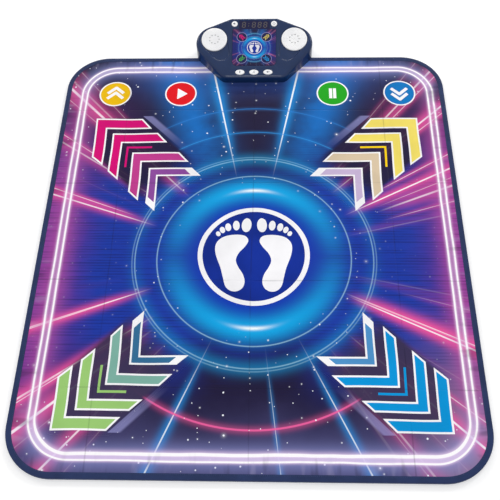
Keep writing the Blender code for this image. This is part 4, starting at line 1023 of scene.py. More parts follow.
class Tiling:
    """A flat outline filled with triangles that know which printed shapes they lie in."""

    def __init__(
        self, outline: Loop, holes: Sequence[Loop] = (), prints: Sequence[Shape] = (), step: float = 0.0
    ) -> None:
        """Fills the outline.

        Args:
            outline: The outer outline.
            holes: Outlines that are left open.
            prints: Shapes in the order they are printed.
            step: The spacing of extra points inside, or 0 for none.
        """
        loops = [anticlockwise(loop) for loop in (outline, *holes, *[shape.outline for shape in prints])]
        points = [point for loop in loops for point in loop]
        starts = [sum(len(other) for other in loops[:i]) for i in range(len(loops))]
        rings = [list(range(start, start + len(loop))) for start, loop in zip(starts, loops)]
        if step:
            points += self._grid(outline, step)
        cut = geometry.delaunay_2d_cdt([Vector(p) for p in points], [], rings, 1, 1e-6, True)
        self.points = [tuple(v) for v in cut[0]]
        self.triangles: list[tuple[int, ...]] = []
        self.finishes: list[Optional[str]] = []
        regions = [(Region(shape.outline), shape.finish) for shape in prints]
        for triangle, owners in zip(cut[2], cut[5]):
            if 0 not in owners or any(1 <= i <= len(holes) for i in owners):
                continue
            a, b, c = (Vector(self.points[i]) for i in triangle)
            middle = (a + b + c) / 3
            self.triangles.append(tuple(triangle) if (b - a).cross(c - a) > 0 else tuple(reversed(triangle)))
            self.finishes.append(next((f for region, f in reversed(regions) if region.holds(*middle)), None))

    @staticmethod
    def _grid(outline: Loop, step: float) -> Loop:
        """Points in staggered rows over the outline's box."""
        low_x, low_y, high_x, high_y = extent(outline)
        rows = int((high_y - low_y) / step)
        columns = int((high_x - low_x) / step)
        offset = 0.37
        return [
            (low_x + step * (c + offset + 0.5 * (r % 2)), low_y + step * (r + offset))
            for r in range(rows)
            for c in range(columns)
            if low_x + step * (c + offset + 0.5 * (r % 2)) < high_x
        ]

    def rim(self) -> list[tuple[int, int]]:
        """The edges that only one triangle has."""
        seen: dict[tuple[int, int], tuple[int, int]] = {}
        for triangle in self.triangles:
            for a, b in ring_pairs(triangle):
                key = (min(a, b), max(a, b))
                if key in seen:
                    del seen[key]
                else:
                    seen[key] = (a, b)
        return list(seen.values())

    def plate(
        self,
        name: str,
        ground: Material,
        finishes: dict[str, Material],
        lie: Callable[[float, float], Sequence[float]],
        thickness: float,
        place: Optional[Matrix] = None,
    ) -> Piece:
        """A plate or sheet with the prints on its upper side.

        Args:
            name: The piece's name.
            ground: The finish where nothing is printed.
            finishes: The finishes of the prints by name.
            lie: Where a point of the upper side lies.
            thickness: How thick it is.
            place: Where its plane is, if it isn't flat on the floor.

        Returns:
            The piece.
        """
        count = len(self.points)
        upper = [lie(x, y) for x, y in self.points]
        vertices = upper + [(x, y, z - thickness) for x, y, z in upper]
        faces = [*self.triangles, *[tuple(i + count for i in reversed(t)) for t in self.triangles]]
        faces += [(b, a, a + count, b + count) for a, b in self.rim()]
        used = sorted({f for f in self.finishes if f})
        slots = [used.index(f) + 1 if f else 0 for f in self.finishes]
        slots += [0] * (len(faces) - len(slots))
        mesh = bpy.data.meshes.new(name)
        mesh.from_pydata(vertices, [], faces)
        for material in (ground, *[finishes[f] for f in used]):
            mesh.materials.append(material)
        mesh.polygons.foreach_set("material_index", slots)
        shape = bmesh.new()
        shape.from_mesh(mesh)
        bmesh.ops.delete(shape, geom=[v for v in shape.verts if not v.link_faces], context="VERTS")
        shape.to_mesh(mesh)
        shape.free()
        if place:
            mesh.transform(place)
        return new_piece(name, mesh)


class RuleTree(Graph):
    """A geometry node tree with named inputs, which is run once and leaves a plain mesh."""

    def __init__(self, name: str, **inputs: str) -> None:
        """Starts the tree.

        Args:
            name: The tree's name.
            inputs: The kind of each input by name, such as "Float" or "Material".
        """
        super().__init__(bpy.data.node_groups.new(name, "GeometryNodeTree"))
        sockets = self.tree.interface
        sockets.new_socket(name="Geometry", in_out="INPUT", socket_type="NodeSocketGeometry")
        for key, kind in {**inputs, "Finish": "Material"}.items():
            sockets.new_socket(name=key, in_out="INPUT", socket_type="NodeSocket" + kind)
        sockets.new_socket(name="Geometry", in_out="OUTPUT", socket_type="NodeSocketGeometry")
        self.given = self.node("NodeGroupInput").outputs
        self.end = self.node("NodeGroupOutput")

    def number(self, name: str) -> Value:
        """A named input as a number."""
        return Value(self, self.given[name])

    def step(self, kind: str, inputs: dict[str, object], **settings: object) -> Socket:
        """A geometry node with its inputs fed, as its first output."""
        made = self.node(kind, **settings)
        for name, value in inputs.items():
            self.feed(made.inputs[name], value)
        return made.outputs[0]

    def close(self, shape: Socket) -> None:
        """Ends the tree: realizes instances and sets the material."""
        real = self.step("GeometryNodeRealizeInstances", {"Geometry": shape})
        dressed = self.step("GeometryNodeSetMaterial", {"Geometry": real, "Material": self.given["Finish"]})
        self.feed(self.end.inputs["Geometry"], dressed)

    def run(
        self, name: str, source: Piece, finish: Material, sharp: float = 40.0, **values: object
    ) -> Piece:
        """Runs the tree on an object, which is used up.

        Args:
            name: The name of the piece.
            source: What the tree starts from.
            finish: The material.
            sharp: The angle in degrees past which an edge is sharp.
            values: The other inputs by name.

        Returns:
            The piece as a plain mesh.
        """
        rule = source.modifiers.new(self.tree.name, "NODES")
        rule.node_group = self.tree
        marks = {item.name: item.identifier for item in self.tree.interface.items_tree if item.in_out == "INPUT"}
        for key, value in {**values, "Finish": finish}.items():
            rule[marks[key]] = value
        mesh = evaluated_mesh(source)
        bpy.data.objects.remove(source)
        return new_piece(name, mesh, sharp)


def evaluated_mesh(source: Piece) -> bpy.types.Mesh:
    """An object's mesh with its modifiers applied."""
    bpy.context.view_layer.update()
    made = source.evaluated_get(bpy.context.evaluated_depsgraph_get())
    return bpy.data.meshes.new_from_object(made)


def guide_object(name: str, points: Sequence[Sequence[float]], closed: bool = False) -> Piece:
    """An object of bare points, or of a closed path through them."""
    edges = list(ring_pairs(range(len(points)))) if closed else []
    mesh = bpy.data.meshes.new(name)
    mesh.from_pydata([tuple(p) for p in points], edges, [])
    return linked(name, mesh)


def sweep_rule() -> RuleTree:
    """A tree that sweeps a profile along a level path, with a little unevenness by hand."""
    rule = RuleTree("folded_tape", Profile="Object", Spacing="Float", Unevenness="Float")
    path = rule.step("GeometryNodeMeshToCurve", {"Mesh": rule.given["Geometry"]})
    sampler = rule.node("GeometryNodeResampleCurve", mode="LENGTH")
    rule.feed(sampler.inputs["Curve"], path)
    rule.feed(sampler.inputs["Length"], rule.given["Spacing"])
    level = rule.step("GeometryNodeSetCurveNormal", {"Curve": sampler.outputs[0]}, mode="Z_UP")
    shape = rule.node("GeometryNodeObjectInfo")
    rule.feed(shape.inputs["Object"], rule.given["Profile"])
    profile = rule.step("GeometryNodeMeshToCurve", {"Mesh": shape.outputs["Geometry"]})
    swept = rule.step("GeometryNodeCurveToMesh", {"Curve": level, "Profile Curve": profile})
    lumps = rule.noise(rule.node("GeometryNodeInputPosition").outputs[0], 60.0, 1.0) - 0.5
    normal = rule.node("GeometryNodeInputNormal").outputs[0]
    push = rule.node("ShaderNodeVectorMath", operation="SCALE")
    rule.feed(push.inputs[0], normal)
    rule.feed(push.inputs["Scale"], lumps * rule.number("Unevenness"))
    rule.close(rule.step("GeometryNodeSetPosition", {"Geometry": swept, "Offset": push.outputs[0]}))
    return rule


def stitch_rule() -> RuleTree:
    """A tree that lays stitches along paths."""
    rule = RuleTree("lock_stitch", Pitch="Float", Length="Float", Thread="Float")
    path = rule.step("GeometryNodeMeshToCurve", {"Mesh": rule.given["Geometry"]})
    level = rule.step("GeometryNodeSetCurveNormal", {"Curve": path}, mode="Z_UP")
    spots = rule.node("GeometryNodeCurveToPoints", mode="LENGTH")
    rule.feed(spots.inputs["Curve"], level)
    rule.feed(spots.inputs["Length"], rule.given["Pitch"])
    bead = rule.step("GeometryNodeMeshIcoSphere", {"Radius": 0.5, "Subdivisions": 1})
    size = rule.join(rule.number("Thread"), rule.number("Thread") * 0.8, rule.number("Length"))
    placed = {"Points": spots.outputs["Points"], "Instance": bead, "Rotation": spots.outputs["Rotation"], "Scale": size}
    rule.close(rule.step("GeometryNodeInstanceOnPoints", placed))
    return rule


def dot_rule() -> RuleTree:
    """A tree that sets a low rubber dot on each point."""
    rule = RuleTree("grip_dots", Radius="Float", Height="Float")
    dome = rule.step("GeometryNodeMeshIcoSphere", {"Radius": 1.0, "Subdivisions": 1})
    lot = rule.node("FunctionNodeRandomValue", data_type="FLOAT")
    for target, value in (("Min", 0.86), ("Max", 1.08), ("Seed", 7)):
        rule.feed(next(i for i in lot.inputs if i.name == target and i.enabled), value)
    wide = rule.number("Radius") * Value(rule, next(o for o in lot.outputs if o.enabled))
    size = rule.join(wide, wide, rule.number("Height"))
    rule.close(
        rule.step("GeometryNodeInstanceOnPoints", {"Points": rule.given["Geometry"], "Instance": dome, "Scale": size})
    )
    return rule


# The mat.


@dataclass(frozen=True)
class Chevron:
    """One chevron of an arrow, in millimetres across and along the mat from the print's centre."""

    corner: Point
    arms: Point
    thickness: Point
    slant: float = 21.0

    def outline(self, short: float = 0.0) -> Loop:
        """Its outline with slanting ends, its arms cut short by a length, in metres."""
        (cx, cy), (ax, ay), (tx, ty), end = self.corner, self.arms, self.thickness, self.slant
        ax, ay = ax - short, ay - short
        across = [(cx, cy), (cx - ax, cy), (cx - ax - end, cy - ty)]
        loop = [*across, (cx - tx, cy - ty), (cx - tx, cy - ay - end), (cx, cy - ay)]
        return scaled(loop, MM)


def middle_of(low: Vector, high: Vector) -> Point:
    """The middle of a box, in plan."""
    return (low.x + high.x) / 2, (low.y + high.y) / 2


@dataclass
class MatPlan:
    """Where everything is on the mat. Its size and the print's centre come from the frame."""

    corner_radius: float = 0.085
    binding: float = 0.0105
    zone_inner: float = 0.206
    zone_half_width: float = 0.0740
    zone_corner: float = 0.010
    seam: float = 0.00008
    sway: float = 0.0016
    slack: float = 0.0007
    held_inset: float = 0.014
    easing: float = 0.05
    console_half: float = 0.15
    console_gap: float = 0.004

    def __post_init__(self) -> None:
        """Reads the frame's boxes."""
        low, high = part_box("edge_binding")
        self.half_width, self.half_length, self.binding_top = high.x, high.y, high.z
        self.sheet_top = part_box("top_sheet")[1].z
        left_low, right_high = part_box("arrow_pad_green")[0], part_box("arrow_pad_yellow")[1]
        self.centre: Point = ((left_low.x + right_high.x) / 2, (left_low.y + right_high.y) / 2)
        self.reach = (right_high.x - left_low.x) / 2
        self.console_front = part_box("console_top_case")[0].y

    def outline(self, by: float, step: float = 4.0) -> Loop:
        """The mat's rounded rectangle, moved inwards."""
        corners = box_loop(-self.half_width, -self.half_length, self.half_width, self.half_length)
        return rounded(corners, [self.corner_radius] * 4, by, step)

    def arrow_outline(self, side: tuple[int, int], grow: float) -> Loop:
        """The house-shaped zone round an arrow, which points to a corner."""
        apex, half = math.sqrt(2) * self.reach, self.zone_half_width
        shoulder, inner = apex - half, self.zone_inner
        house = [(inner, -half), (shoulder, -half), (apex, 0.0), (shoulder, half), (inner, half)]
        shape = rounded(house, [self.zone_corner] * 5, -grow, 15.0)
        return moved(turned(shape, math.atan2(side[1], side[0])), self.centre)

    def icon_outline(self, node: str, grow: float) -> Loop:
        """The round zone at an icon."""
        low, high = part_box(node)
        return circle(middle_of(low, high), (high.x - low.x) / 2 + grow, 72)

    def edge_distance(self, x: float, y: float) -> float:
        """How far a point is inside the mat's edge."""
        radius = self.corner_radius
        over_x, over_y = abs(x) - self.half_width + radius, abs(y) - self.half_length + radius
        outside = math.hypot(max(over_x, 0.0), max(over_y, 0.0))
        return radius - outside - min(max(over_x, over_y), 0.0)

    def lie(self, x: float, y: float) -> tuple[float, float, float]:
        """Where a point of the flat print lies: slack in the open, held down at its edge and the console."""
        free = min(max((self.edge_distance(x, y) - self.held_inset) / self.easing, 0.0), 1.0)
        gap_x = max(abs(x) - self.console_half, 0.0)
        gap_y = max(self.console_front - self.console_gap - y, 0.0)
        free = min(free, math.hypot(gap_x, gap_y) / self.easing)
        spot = Vector((x * 5.0, y * 8.0, 3.7))
        wave = noise.noise(spot) * 0.6 + noise.noise(spot * 2.7) * 0.3
        height = self.sheet_top + self.slack * free * (0.5 + 0.5 * wave) * (3 - 2 * free) * free
        shift = noise.noise_vector(Vector((x * 13.0, y * 13.0, 9.2))) * (self.sway * free)
        return x + shift.x, y + shift.y, height


@dataclass
class ArrowArt:
    """Four chevrons and a thin line that point to a corner of the mat."""

    side: tuple[int, int]
    inks: tuple[str, str, str, str]
    line_ink: str
    edging: float = 0.0033
    tip: float = 12.5
    piece_step: float = 0.009

    UPPER = (
        Chevron((331.8, 326.6), (96.3, 99.5), (24.8, 27.0)),
        Chevron((294.5, 288.5), (93.4, 96.7), (22.1, 24.9)),
        Chevron((249.2, 239.6), (94.3, 95.7), (21.5, 23.9)),
        Chevron((212.7, 201.0), (86.5, 83.6), (19.1, 20.0), 18.5),
        Chevron((262.2, 254.6), (52.1, 52.2), (4.2, 4.6), 0.0),
    )
    LOWER = (
        Chevron((331.6, 329.5), (93.8, 92.5), (23.2, 23.5)),
        Chevron((295.7, 295.5), (92.2, 89.5), (22.0, 19.8)),
        Chevron((248.8, 251.8), (92.2, 90.3), (20.3, 20.9)),
        Chevron((212.1, 214.6), (82.6, 81.4), (17.9, 16.9), 19.5),
        Chevron((260.8, 265.3), (49.4, 49.1), (4.2, 4.4), 0.0),
    )

    def shapes(self, centre: Point) -> list[Shape]:
        """The printed shapes, outermost first, each white shape under its colour."""
        *chevrons, line = self.UPPER if self.side[1] > 0 else self.LOWER
        found = []
        for chevron, colour in zip(chevrons, self.inks):
            short = self.tip if chevron is chevrons[-1] else 0.0
            found.append(self._placed(chevron.outline(), centre, "white"))
            found.append(self._placed(inset(chevron.outline(short), self.edging), centre, colour))
        return [*found, self._placed(line.outline(), centre, self.line_ink)]

    def _placed(self, loop: Loop, centre: Point, finish: str) -> Shape:
        """A shape turned to its corner of the mat."""
        return Shape(moved(flipped(divided(loop, self.piece_step), *self.side), centre), finish)


@dataclass
class FootArt:
    """Two footprints in a ring."""

    ring_outer: float = 0.1040
    ring_inner: float = 0.0948
    middle: Point = (0.0057, -0.0420)
    toes: tuple[tuple[float, float, float, float, float], ...] = (
        (-14.9, 64.8, 9.5, 15.5, -4.0),
        (-34.5, 64.0, 6.4, 10.8, 4.0),
        (-49.6, 60.4, 5.6, 8.8, 10.0),
        (-60.0, 54.4, 4.9, 7.2, 18.0),
        (-67.2, 46.0, 4.2, 5.6, 26.0),
    )
    sole: tuple[Point, ...] = (
        (-67.8, 28.9),
        (-56.0, 39.5),
        (-35.6, 43.6),
        (-17.1, 40.8),
        (-10.8, 30.2),
        (-16.6, 17.3),
        (-28.0, 3.0),
        (-33.0, -12.0),
        (-28.6, -26.0),
        (-19.8, -41.0),
        (-16.4, -56.0),
        (-20.6, -68.6),
        (-30.6, -75.2),
        (-42.4, -74.2),
        (-51.6, -65.2),
        (-56.0, -48.5),
        (-60.6, -28.0),
        (-68.6, -3.8),
        (-71.4, 14.8),
    )

    def shapes(self, middle: Point, scale: float, ring: str, ground: str, foot: str) -> list[Shape]:
        """The ring and both feet.

        Args:
            middle: The centre.
            scale: The size, where 1 is the print on the mat.
            ring: The ring's finish.
            ground: The finish inside the ring.
            foot: The footprints' finish.

        Returns:
            The shapes in the order they are printed.
        """
        found = [Shape(circle(middle, self.ring_outer * scale, 128), ring)]
        found.append(Shape(circle(middle, self.ring_inner * scale, 128), ground))
        left = [smooth_loop([(x * MM, y * MM) for x, y in self.sole])]
        left += [oval((x * MM, y * MM), (a * MM, b * MM), 28, math.radians(lean)) for x, y, a, b, lean in self.toes]
        for loop in (*left, *[flipped(loop) for loop in left]):
            found.append(Shape(moved(scaled(loop, scale), middle), foot))
        return found


class Glyph(Enum):
    """The sign on an icon."""

    UP = "up"
    PLAY = "play"
    PAUSE = "pause"
    DOWN = "down"

    def loops(self) -> list[Loop]:
        """The sign's outlines about its centre, in metres."""
        if self is Glyph.PLAY:
            return [smooth_corners([(-0.0072, -0.0152), (0.0146, 0.0), (-0.0072, 0.0152)], 0.0009)]
        if self is Glyph.PAUSE:
            return [box_loop(x - 0.0033, -0.0136, x + 0.0033, 0.0136) for x in (-0.0042, 0.0042)]
        sign = 1 if self is Glyph.UP else -1
        found = []
        for high in (0.0030, 0.0172):
            tip = (0.0, high * sign)
            for x in (-0.0168, 0.0168):
                arm = anticlockwise(bar((x, (high - 0.0158) * sign), tip, 0.0070))
                found += [smooth_corners(arm, 0.0012), circle(tip, 0.0035, 20)]
        return found


def smooth_corners(corners: Sequence[Point], radius: float) -> Loop:
    """A convex polygon with the same small arc at each corner."""
    return rounded(corners, [radius] * len(corners), 0.0, 15.0)


@dataclass
class PrintedSheet:
    """The printed top sheet and the eight zones cut out of it, which press down on their own."""

    plan: MatPlan
    thickness: float = 0.0010
    mesh_step: float = 0.0085
    draft: float = 0.0021
    under_tape: float = 0.0026
    icon_rim: float = 0.0338
    icon_disc: float = 0.0308
    arrows: dict[str, ArrowArt] = field(
        default_factory=lambda: {
            "arrow_pad_pink": ArrowArt((-1, 1), ("pink", "pink", "plum", "violet"), "pink"),
            "arrow_pad_yellow": ArrowArt((1, 1), ("yellow", "yellow", "sand", "mauve"), "gold"),
            "arrow_pad_green": ArrowArt((-1, -1), ("leaf", "leaf", "teal", "denim"), "leaf"),
            "arrow_pad_blue": ArrowArt((1, -1), ("azure", "azure", "azure", "sky"), "azure"),
        }
    )
    icons: dict[str, tuple[Glyph, str]] = field(
        default_factory=lambda: {
            "icon_pad_up": (Glyph.UP, "amber"),
            "icon_pad_play": (Glyph.PLAY, "red"),
            "icon_pad_pause": (Glyph.PAUSE, "green"),
            "icon_pad_down": (Glyph.DOWN, "blue"),
        }
    )
    inks: dict[str, str] = field(
        default_factory=lambda: {
            "white": "FDFCFF",
            "pink": "D60074",
            "plum": "C23C8E",
            "violet": "8E4A9E",
            "yellow": "F8E36A",
            "gold": "FFD400",
            "sand": "DCC7A8",
            "mauve": "CDB9DC",
            "leaf": "9BCA74",
            "teal": "7FB3A5",
            "denim": "35709A",
            "azure": "0095DA",
            "sky": "4F94CC",
            "amber": "F0BE00",
            "red": "E30F1C",
            "green": "1FA41C",
            "blue": "0078C4",
        }
    )

    def build(self) -> list[Piece]:
        """Returns:
            The pieces.
        """
        ground = Backdrop("club_backdrop", self.plan.centre).make()
        shaded = Backdrop("shaded_backdrop", self.plan.centre, veil=0.97).make()
        finishes = {name: PrintedInk("ink_" + name, ink(code)).make() for name, code in self.inks.items()}
        plan = self.plan
        zones = {
            node: (plan.arrow_outline(art.side, 0.0), art.shapes(plan.centre)) for node, art in self.arrows.items()
        }
        zones |= {node: (plan.icon_outline(node, 0.0), self.icon_shapes(node)) for node in self.icons}
        found = [self.sheet(ground, finishes)]
        for node, (outline, shapes) in zones.items():
            found.append(self.zone(node, outline, shapes, shaded if node in self.arrows else ground, finishes))
        return found

    def icon_shapes(self, node: str) -> list[Shape]:
        """An icon: a white rim, a coloured disc and a white sign."""
        glyph, colour = self.icons[node]
        middle = middle_of(*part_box(node))
        signs = [Shape(moved(loop, middle), "white") for loop in glyph.loops()]
        discs = ((self.icon_rim, "white"), (self.icon_disc, colour))
        return [*[Shape(circle(middle, radius, 72), finish) for radius, finish in discs], *signs]

    def sheet(self, ground: Material, finishes: dict[str, Material]) -> Piece:
        """The sheet itself, with the footprints and an opening for each zone."""
        plan = self.plan
        holes = [plan.arrow_outline(art.side, plan.seam) for art in self.arrows.values()]
        holes += [plan.icon_outline(node, plan.seam) for node in self.icons]
        foot = FootArt()
        prints = foot.shapes(foot.middle, 1.0, "white", "night_blue", "white")
        for art in self.arrows.values():
            prints += art.shapes(plan.centre)
        finishes = {**finishes, "night_blue": PrintedInk("ink_night_blue", ink("10309A"), drift=0.35).make()}
        tiling = Tiling(plan.outline(self.under_tape), holes, prints, self.mesh_step)
        piece = tiling.plate("printed_sheet", ground, finishes, plan.lie, self.thickness)
        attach(piece, "mat")
        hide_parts("top_sheet")
        flat = (2 * plan.half_width, 2 * plan.half_length)
        area = flat[0] * flat[1] - (4 - math.pi) * plan.corner_radius**2 - sum(loop_area(hole) for hole in holes)
        return piece

    def zone(
        self,
        node: str,
        outline: Loop,
        shapes: Sequence[Shape],
        ground: Material,
        finishes: dict[str, Material],
    ) -> Piece:
        """One pressing zone, level with the sheet at rest."""
        tiling = Tiling(outline, (), shapes, self.mesh_step)
        name = node.replace("pad", "patch")
        piece = tiling.plate(name, ground, finishes, self.plan.lie, self.thickness)
        body = node.replace("arrow_pad_", "arrow_").replace("icon_pad_", "icon_") + "_zone"
        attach(piece, body)
        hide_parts(node)
        low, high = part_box(node)
        size = (high.x - low.x, high.y - low.y)
        self.taper(piece, (low + high) / 2, self.plan.zone_half_width if node in self.arrows else size[0] / 2)
        loop_area(outline)
        return piece

    def taper(self, piece: Piece, middle: Vector, reach: float) -> None:
        """Draws in the underside of a zone, so that it clears the film's opening when it is pressed."""
        vertices = list(piece.data.vertices)
        for vertex in vertices[len(vertices) // 2 :]:
            for axis in (0, 1):
                vertex.co[axis] += (middle[axis] - vertex.co[axis]) * self.draft / reach


@dataclass
class EdgeTape:
    """Navy woven tape folded over the edge of the mat, with a row of stitches above and below."""

    plan: MatPlan
    thickness: float = 0.00048
    fold_radius: float = 0.0024
    stitch_inset: float = 0.0088
    pitch: float = 0.0033
    spacing: float = 0.006
    unevenness: float = 0.00010
    stitch_length: float = 0.0024
    thread: float = 0.00042

    def build(self) -> list[Piece]:
        """Builds the tape and its stitches."""
        plan = self.plan
        middle_inset, middle_z = plan.binding / 2, plan.binding_top / 2
        path = guide_object("tape_path", [(x, y, middle_z) for x, y in plan.outline(middle_inset, 3.0)], True)
        profile = guide_object("tape_profile", [(x, -z, 0.0) for x, z in self.profile()], True)
        tape = sweep_rule().run(
            "edge_tape",
            path,
            Woven("navy_tape", ink("24345F"), fuzz=0.12).make(),
            60.0,
            Profile=profile,
            Spacing=self.spacing,
            Unevenness=self.unevenness,
        )
        bpy.data.objects.remove(profile)
        mend(tape.data)
        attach(tape, "mat")
        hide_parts("edge_binding")
        seams = self.seams()
        return [tape, *seams]

    def profile(self) -> Loop:
        """The tape's cross-section about its middle: outwards and upwards, as a closed outline."""
        half, rise, radius = self.plan.binding / 2, self.plan.binding_top / 2, self.fold_radius
        outer: Loop = [(-half, -rise + 0.00028), (-half + 0.0018, -rise + 0.00026), (-half + 0.0045, -rise + 0.00006)]
        for sign, degrees in ((-1, range(90, -1, -15)), (1, range(0, 91, 15))):
            for a in map(math.radians, degrees):
                out, up = half - radius + radius * math.cos(a), rise - 0.0001 - radius + radius * math.sin(a)
                outer.append((out, sign * up))
        outer += [(-half + 0.0045, rise), (-half + 0.0018, rise - 0.00032)]
        outer += [(-half + 0.0006, rise - 0.00026), (-half, rise - 0.00042)]
        inner = []
        for i, (x, z) in enumerate(outer):
            before, after = outer[max(i - 1, 0)], outer[min(i + 1, len(outer) - 1)]
            along = (Vector(after) - Vector(before)).normalized()
            inner.append((x - along.y * self.thickness, z + along.x * self.thickness))
        return outer + inner[::-1]

    def seams(self) -> list[Piece]:
        """A row of stitches on each side of the mat."""
        thread = WireJacket("navy_thread", ink("3A4A74")).make()
        found = []
        for name, z in (("stitches_upper", self.plan.binding_top - 0.00028), ("stitches_lower", 0.00024)):
            line = [(x, y, z) for x, y in self.plan.outline(self.stitch_inset, 3.0)]
            sizes = {"Pitch": self.pitch, "Length": self.stitch_length, "Thread": self.thread}
            seam = stitch_rule().run(name, guide_object(name + "_path", line, True), thread, 60.0, **sizes)
            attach(seam, "mat")
            found.append(seam)
        return found


@dataclass
class Backing:
    """The cloth under the mat, tucked into the tape, with rows of rubber dots that grip the floor."""

    plan: MatPlan
    low: float = 0.00062
    thickness: float = 0.00042
    tuck: float = 0.0045
    pitch: float = 0.0112
    dot_radius: float = 0.0016
    dot_lift: float = 0.00002
    bar_gap: float = 0.0005
    bar_margin: float = 0.003
    tape_margin: float = 0.004
    mesh_step: float = 0.03

    def build(self) -> list[Piece]:
        """Builds the cloth and its dots."""
        bar_low, bar_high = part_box("mat_clamp_bar")
        gap = self.bar_gap
        opening = box_loop(bar_low.x - gap, bar_low.y - gap, bar_high.x + gap, bar_high.y + gap)
        tiling = Tiling(self.plan.outline(self.tuck), [opening], (), self.mesh_step)
        grey = Woven("backing_weave", ink("23242A"), thread=0.0009, fuzz=0.15).make()
        cloth = tiling.plate("backing_cloth", grey, {}, lambda x, y: (x, y, self.low + self.thickness), self.thickness)
        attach(cloth, "mat")
        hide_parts("back_sheet")
        rubber = MouldedPlastic("grip_rubber", ink("2E2F36"), roughness=0.62, grain=900.0).make()
        sizes = {"Radius": self.dot_radius, "Height": self.low - self.dot_lift}
        dots = dot_rule().run("grip_dots", self.dot_points(bar_low, bar_high), rubber, 60.0, **sizes)
        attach(dots, "mat")
        return [cloth, dots]

    def dot_points(self, bar_low: Vector, bar_high: Vector) -> Piece:
        """Staggered rows of points that keep clear of the tape and the clamp bar."""
        points, margin = [], self.bar_margin
        row_step = self.pitch * math.sqrt(3) / 2
        rows = int(self.plan.half_length / row_step)
        columns = int(self.plan.half_width / self.pitch)
        for row in range(-rows, rows + 1):
            for column in range(-columns - 1, columns + 1):
                x, y = (column + 0.5 * (row % 2)) * self.pitch, row * row_step
                on_bar = abs(x) < bar_high.x + margin and bar_low.y - margin < y < bar_high.y + margin
                if self.plan.edge_distance(x, y) > self.plan.binding + self.tape_margin and not on_bar:
                    points.append((x, y, self.low))
        return guide_object("dot_points", points)


# The console.


@dataclass
class ConsolePlan:
    """The console's outline and its sloping face. Places on the face are across and up it from its front edge."""

    front_half: float = 0.0665
    rear_half: float = 0.050
    lobe_corner: Point = (0.1493, 0.0422)
    front_radius: float = 0.022
    lobe_radius: float = 0.0375
    rear_radius: float = 0.008
    tilt: float = math.radians(14)
    front_height: float = 0.026
    face_thickness: float = 0.0042
    wall: float = 0.0022
    gap: float = 0.0004
    panel_thickness: float = 0.0012
    panel_half: float = 0.0468
    panel_front: float = 0.0262
    panel_shoulder: float = 0.1148
    panel_rear: float = 0.1355
    tab_half: float = 0.0330
    grille_radius: float = 0.0275
    speaker_y: float = 0.0907
    dish_margin: float = 0.0030
    lip_offset: Point = (0.0151, 0.0332)
    lip_radius: float = 0.0200
    panel_radii: tuple[float, ...] = (0.010, 0.010, 0.002, 0.002)

    def __post_init__(self) -> None:
        """Reads the frame's boxes."""
        low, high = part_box("console_top_case")
        self.front_y, self.rear_y = low.y, high.y
        self.speaker = (middle_of(*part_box("speaker_grille_right"))[0], self.speaker_y)
        self.face = Matrix.Translation((0.0, self.front_y, self.front_height)) @ Matrix.Rotation(self.tilt, 4, "X")

    def outline(self, by: float, step: float = 4.0) -> Loop:
        """The console in plan, moved inwards."""
        lobe_x, lobe_y = self.lobe_corner[0], self.rear_y - self.lobe_corner[1]
        right = [(self.front_half, self.front_y), (lobe_x, lobe_y), (self.rear_half, self.rear_y)]
        radii = [self.front_radius, self.lobe_radius, self.rear_radius]
        corners = [(-self.front_half, self.front_y), *right, *[(-x, y) for x, y in right[:0:-1]]]
        return rounded(corners, [self.front_radius, *radii, *radii[:0:-1]], by, step)

    def height(self, y: float, depth: float = 0.0) -> float:
        """How high a plane at a depth under the face is above the floor."""
        return self.front_height + math.tan(self.tilt) * (y - self.front_y) - depth / math.cos(self.tilt)

    def on_face(self, point: Point) -> Point:
        """A point in plan, as a place on the face straight above it."""
        return point[0], (point[1] - self.front_y) / math.cos(self.tilt)

    def panel_outline(self, by: float) -> Loop:
        """The screen panel: a rounded square with a narrower tab over the display."""
        square = box_loop(-self.panel_half, self.panel_front, self.panel_half, self.panel_shoulder)
        body = rounded(square, self.panel_radii, by, 7.5)
        tab = [(self.tab_half - by, self.panel_shoulder - by), (self.tab_half - by, self.panel_rear - by)]
        right_end = len(body) * 3 // 4
        return [*body[:right_end], *tab, *[(-x, y) for x, y in tab[::-1]], *body[right_end:]]

    def pocket_outline(self, side: int, by: float) -> Loop:
        """The shallow dish round a speaker, which runs out below it in a lip."""
        (x, y), (back_x, back_y) = self.speaker, self.lip_offset
        lip = (x - back_x, y - back_y)
        loop = belt((x, y), self.grille_radius + self.dish_margin - by, lip, self.lip_radius - by)
        return loop if side > 0 else [(-a, b) for a, b in loop]


@dataclass(frozen=True)
class ButtonPlan:
    """One button: its place on the face and its two radii."""

    node: str
    place: Point
    radii: Point

    def outline(self, grow: float = 0.0) -> Loop:
        """The cap's outline, grown by a width."""
        return oval(self.place, (self.radii[0] + grow, self.radii[1] + grow), 48)


BUTTONS = (
    ButtonPlan("sound_button", (-0.0426, 0.1270), (0.0065, 0.0065)),
    ButtonPlan("power_button", (0.0426, 0.1270), (0.0065, 0.0065)),
    ButtonPlan("mode_button", (-0.0297, 0.0106), (0.0097, 0.0057)),
    ButtonPlan("music_button", (0.0, 0.0106), (0.0097, 0.0057)),
    ButtonPlan("volume_button", (0.0297, 0.0106), (0.0097, 0.0057)),
)


def solid_between(
    name: str, lower: Sequence[Sequence[float]], upper: Sequence[Sequence[float]]
) -> Piece:
    """A solid between two rings of as many points."""
    count = len(lower)
    faces = [tuple(range(count))[::-1], tuple(range(count, 2 * count)), *wall_faces(0, count, count)]
    return solid_from(name, [*lower, *upper], faces)


def prism(name: str, loop: Loop, low: float, high: float, place: Optional[Matrix] = None) -> Piece:
    """An upright solid on an outline, used as a tool."""
    lower, upper = ([(x, y, z) for x, y in anticlockwise(loop)] for z in (low, high))
    tool = solid_between(name, lower, upper)
    if place:
        tool.data.transform(place)
    return tool


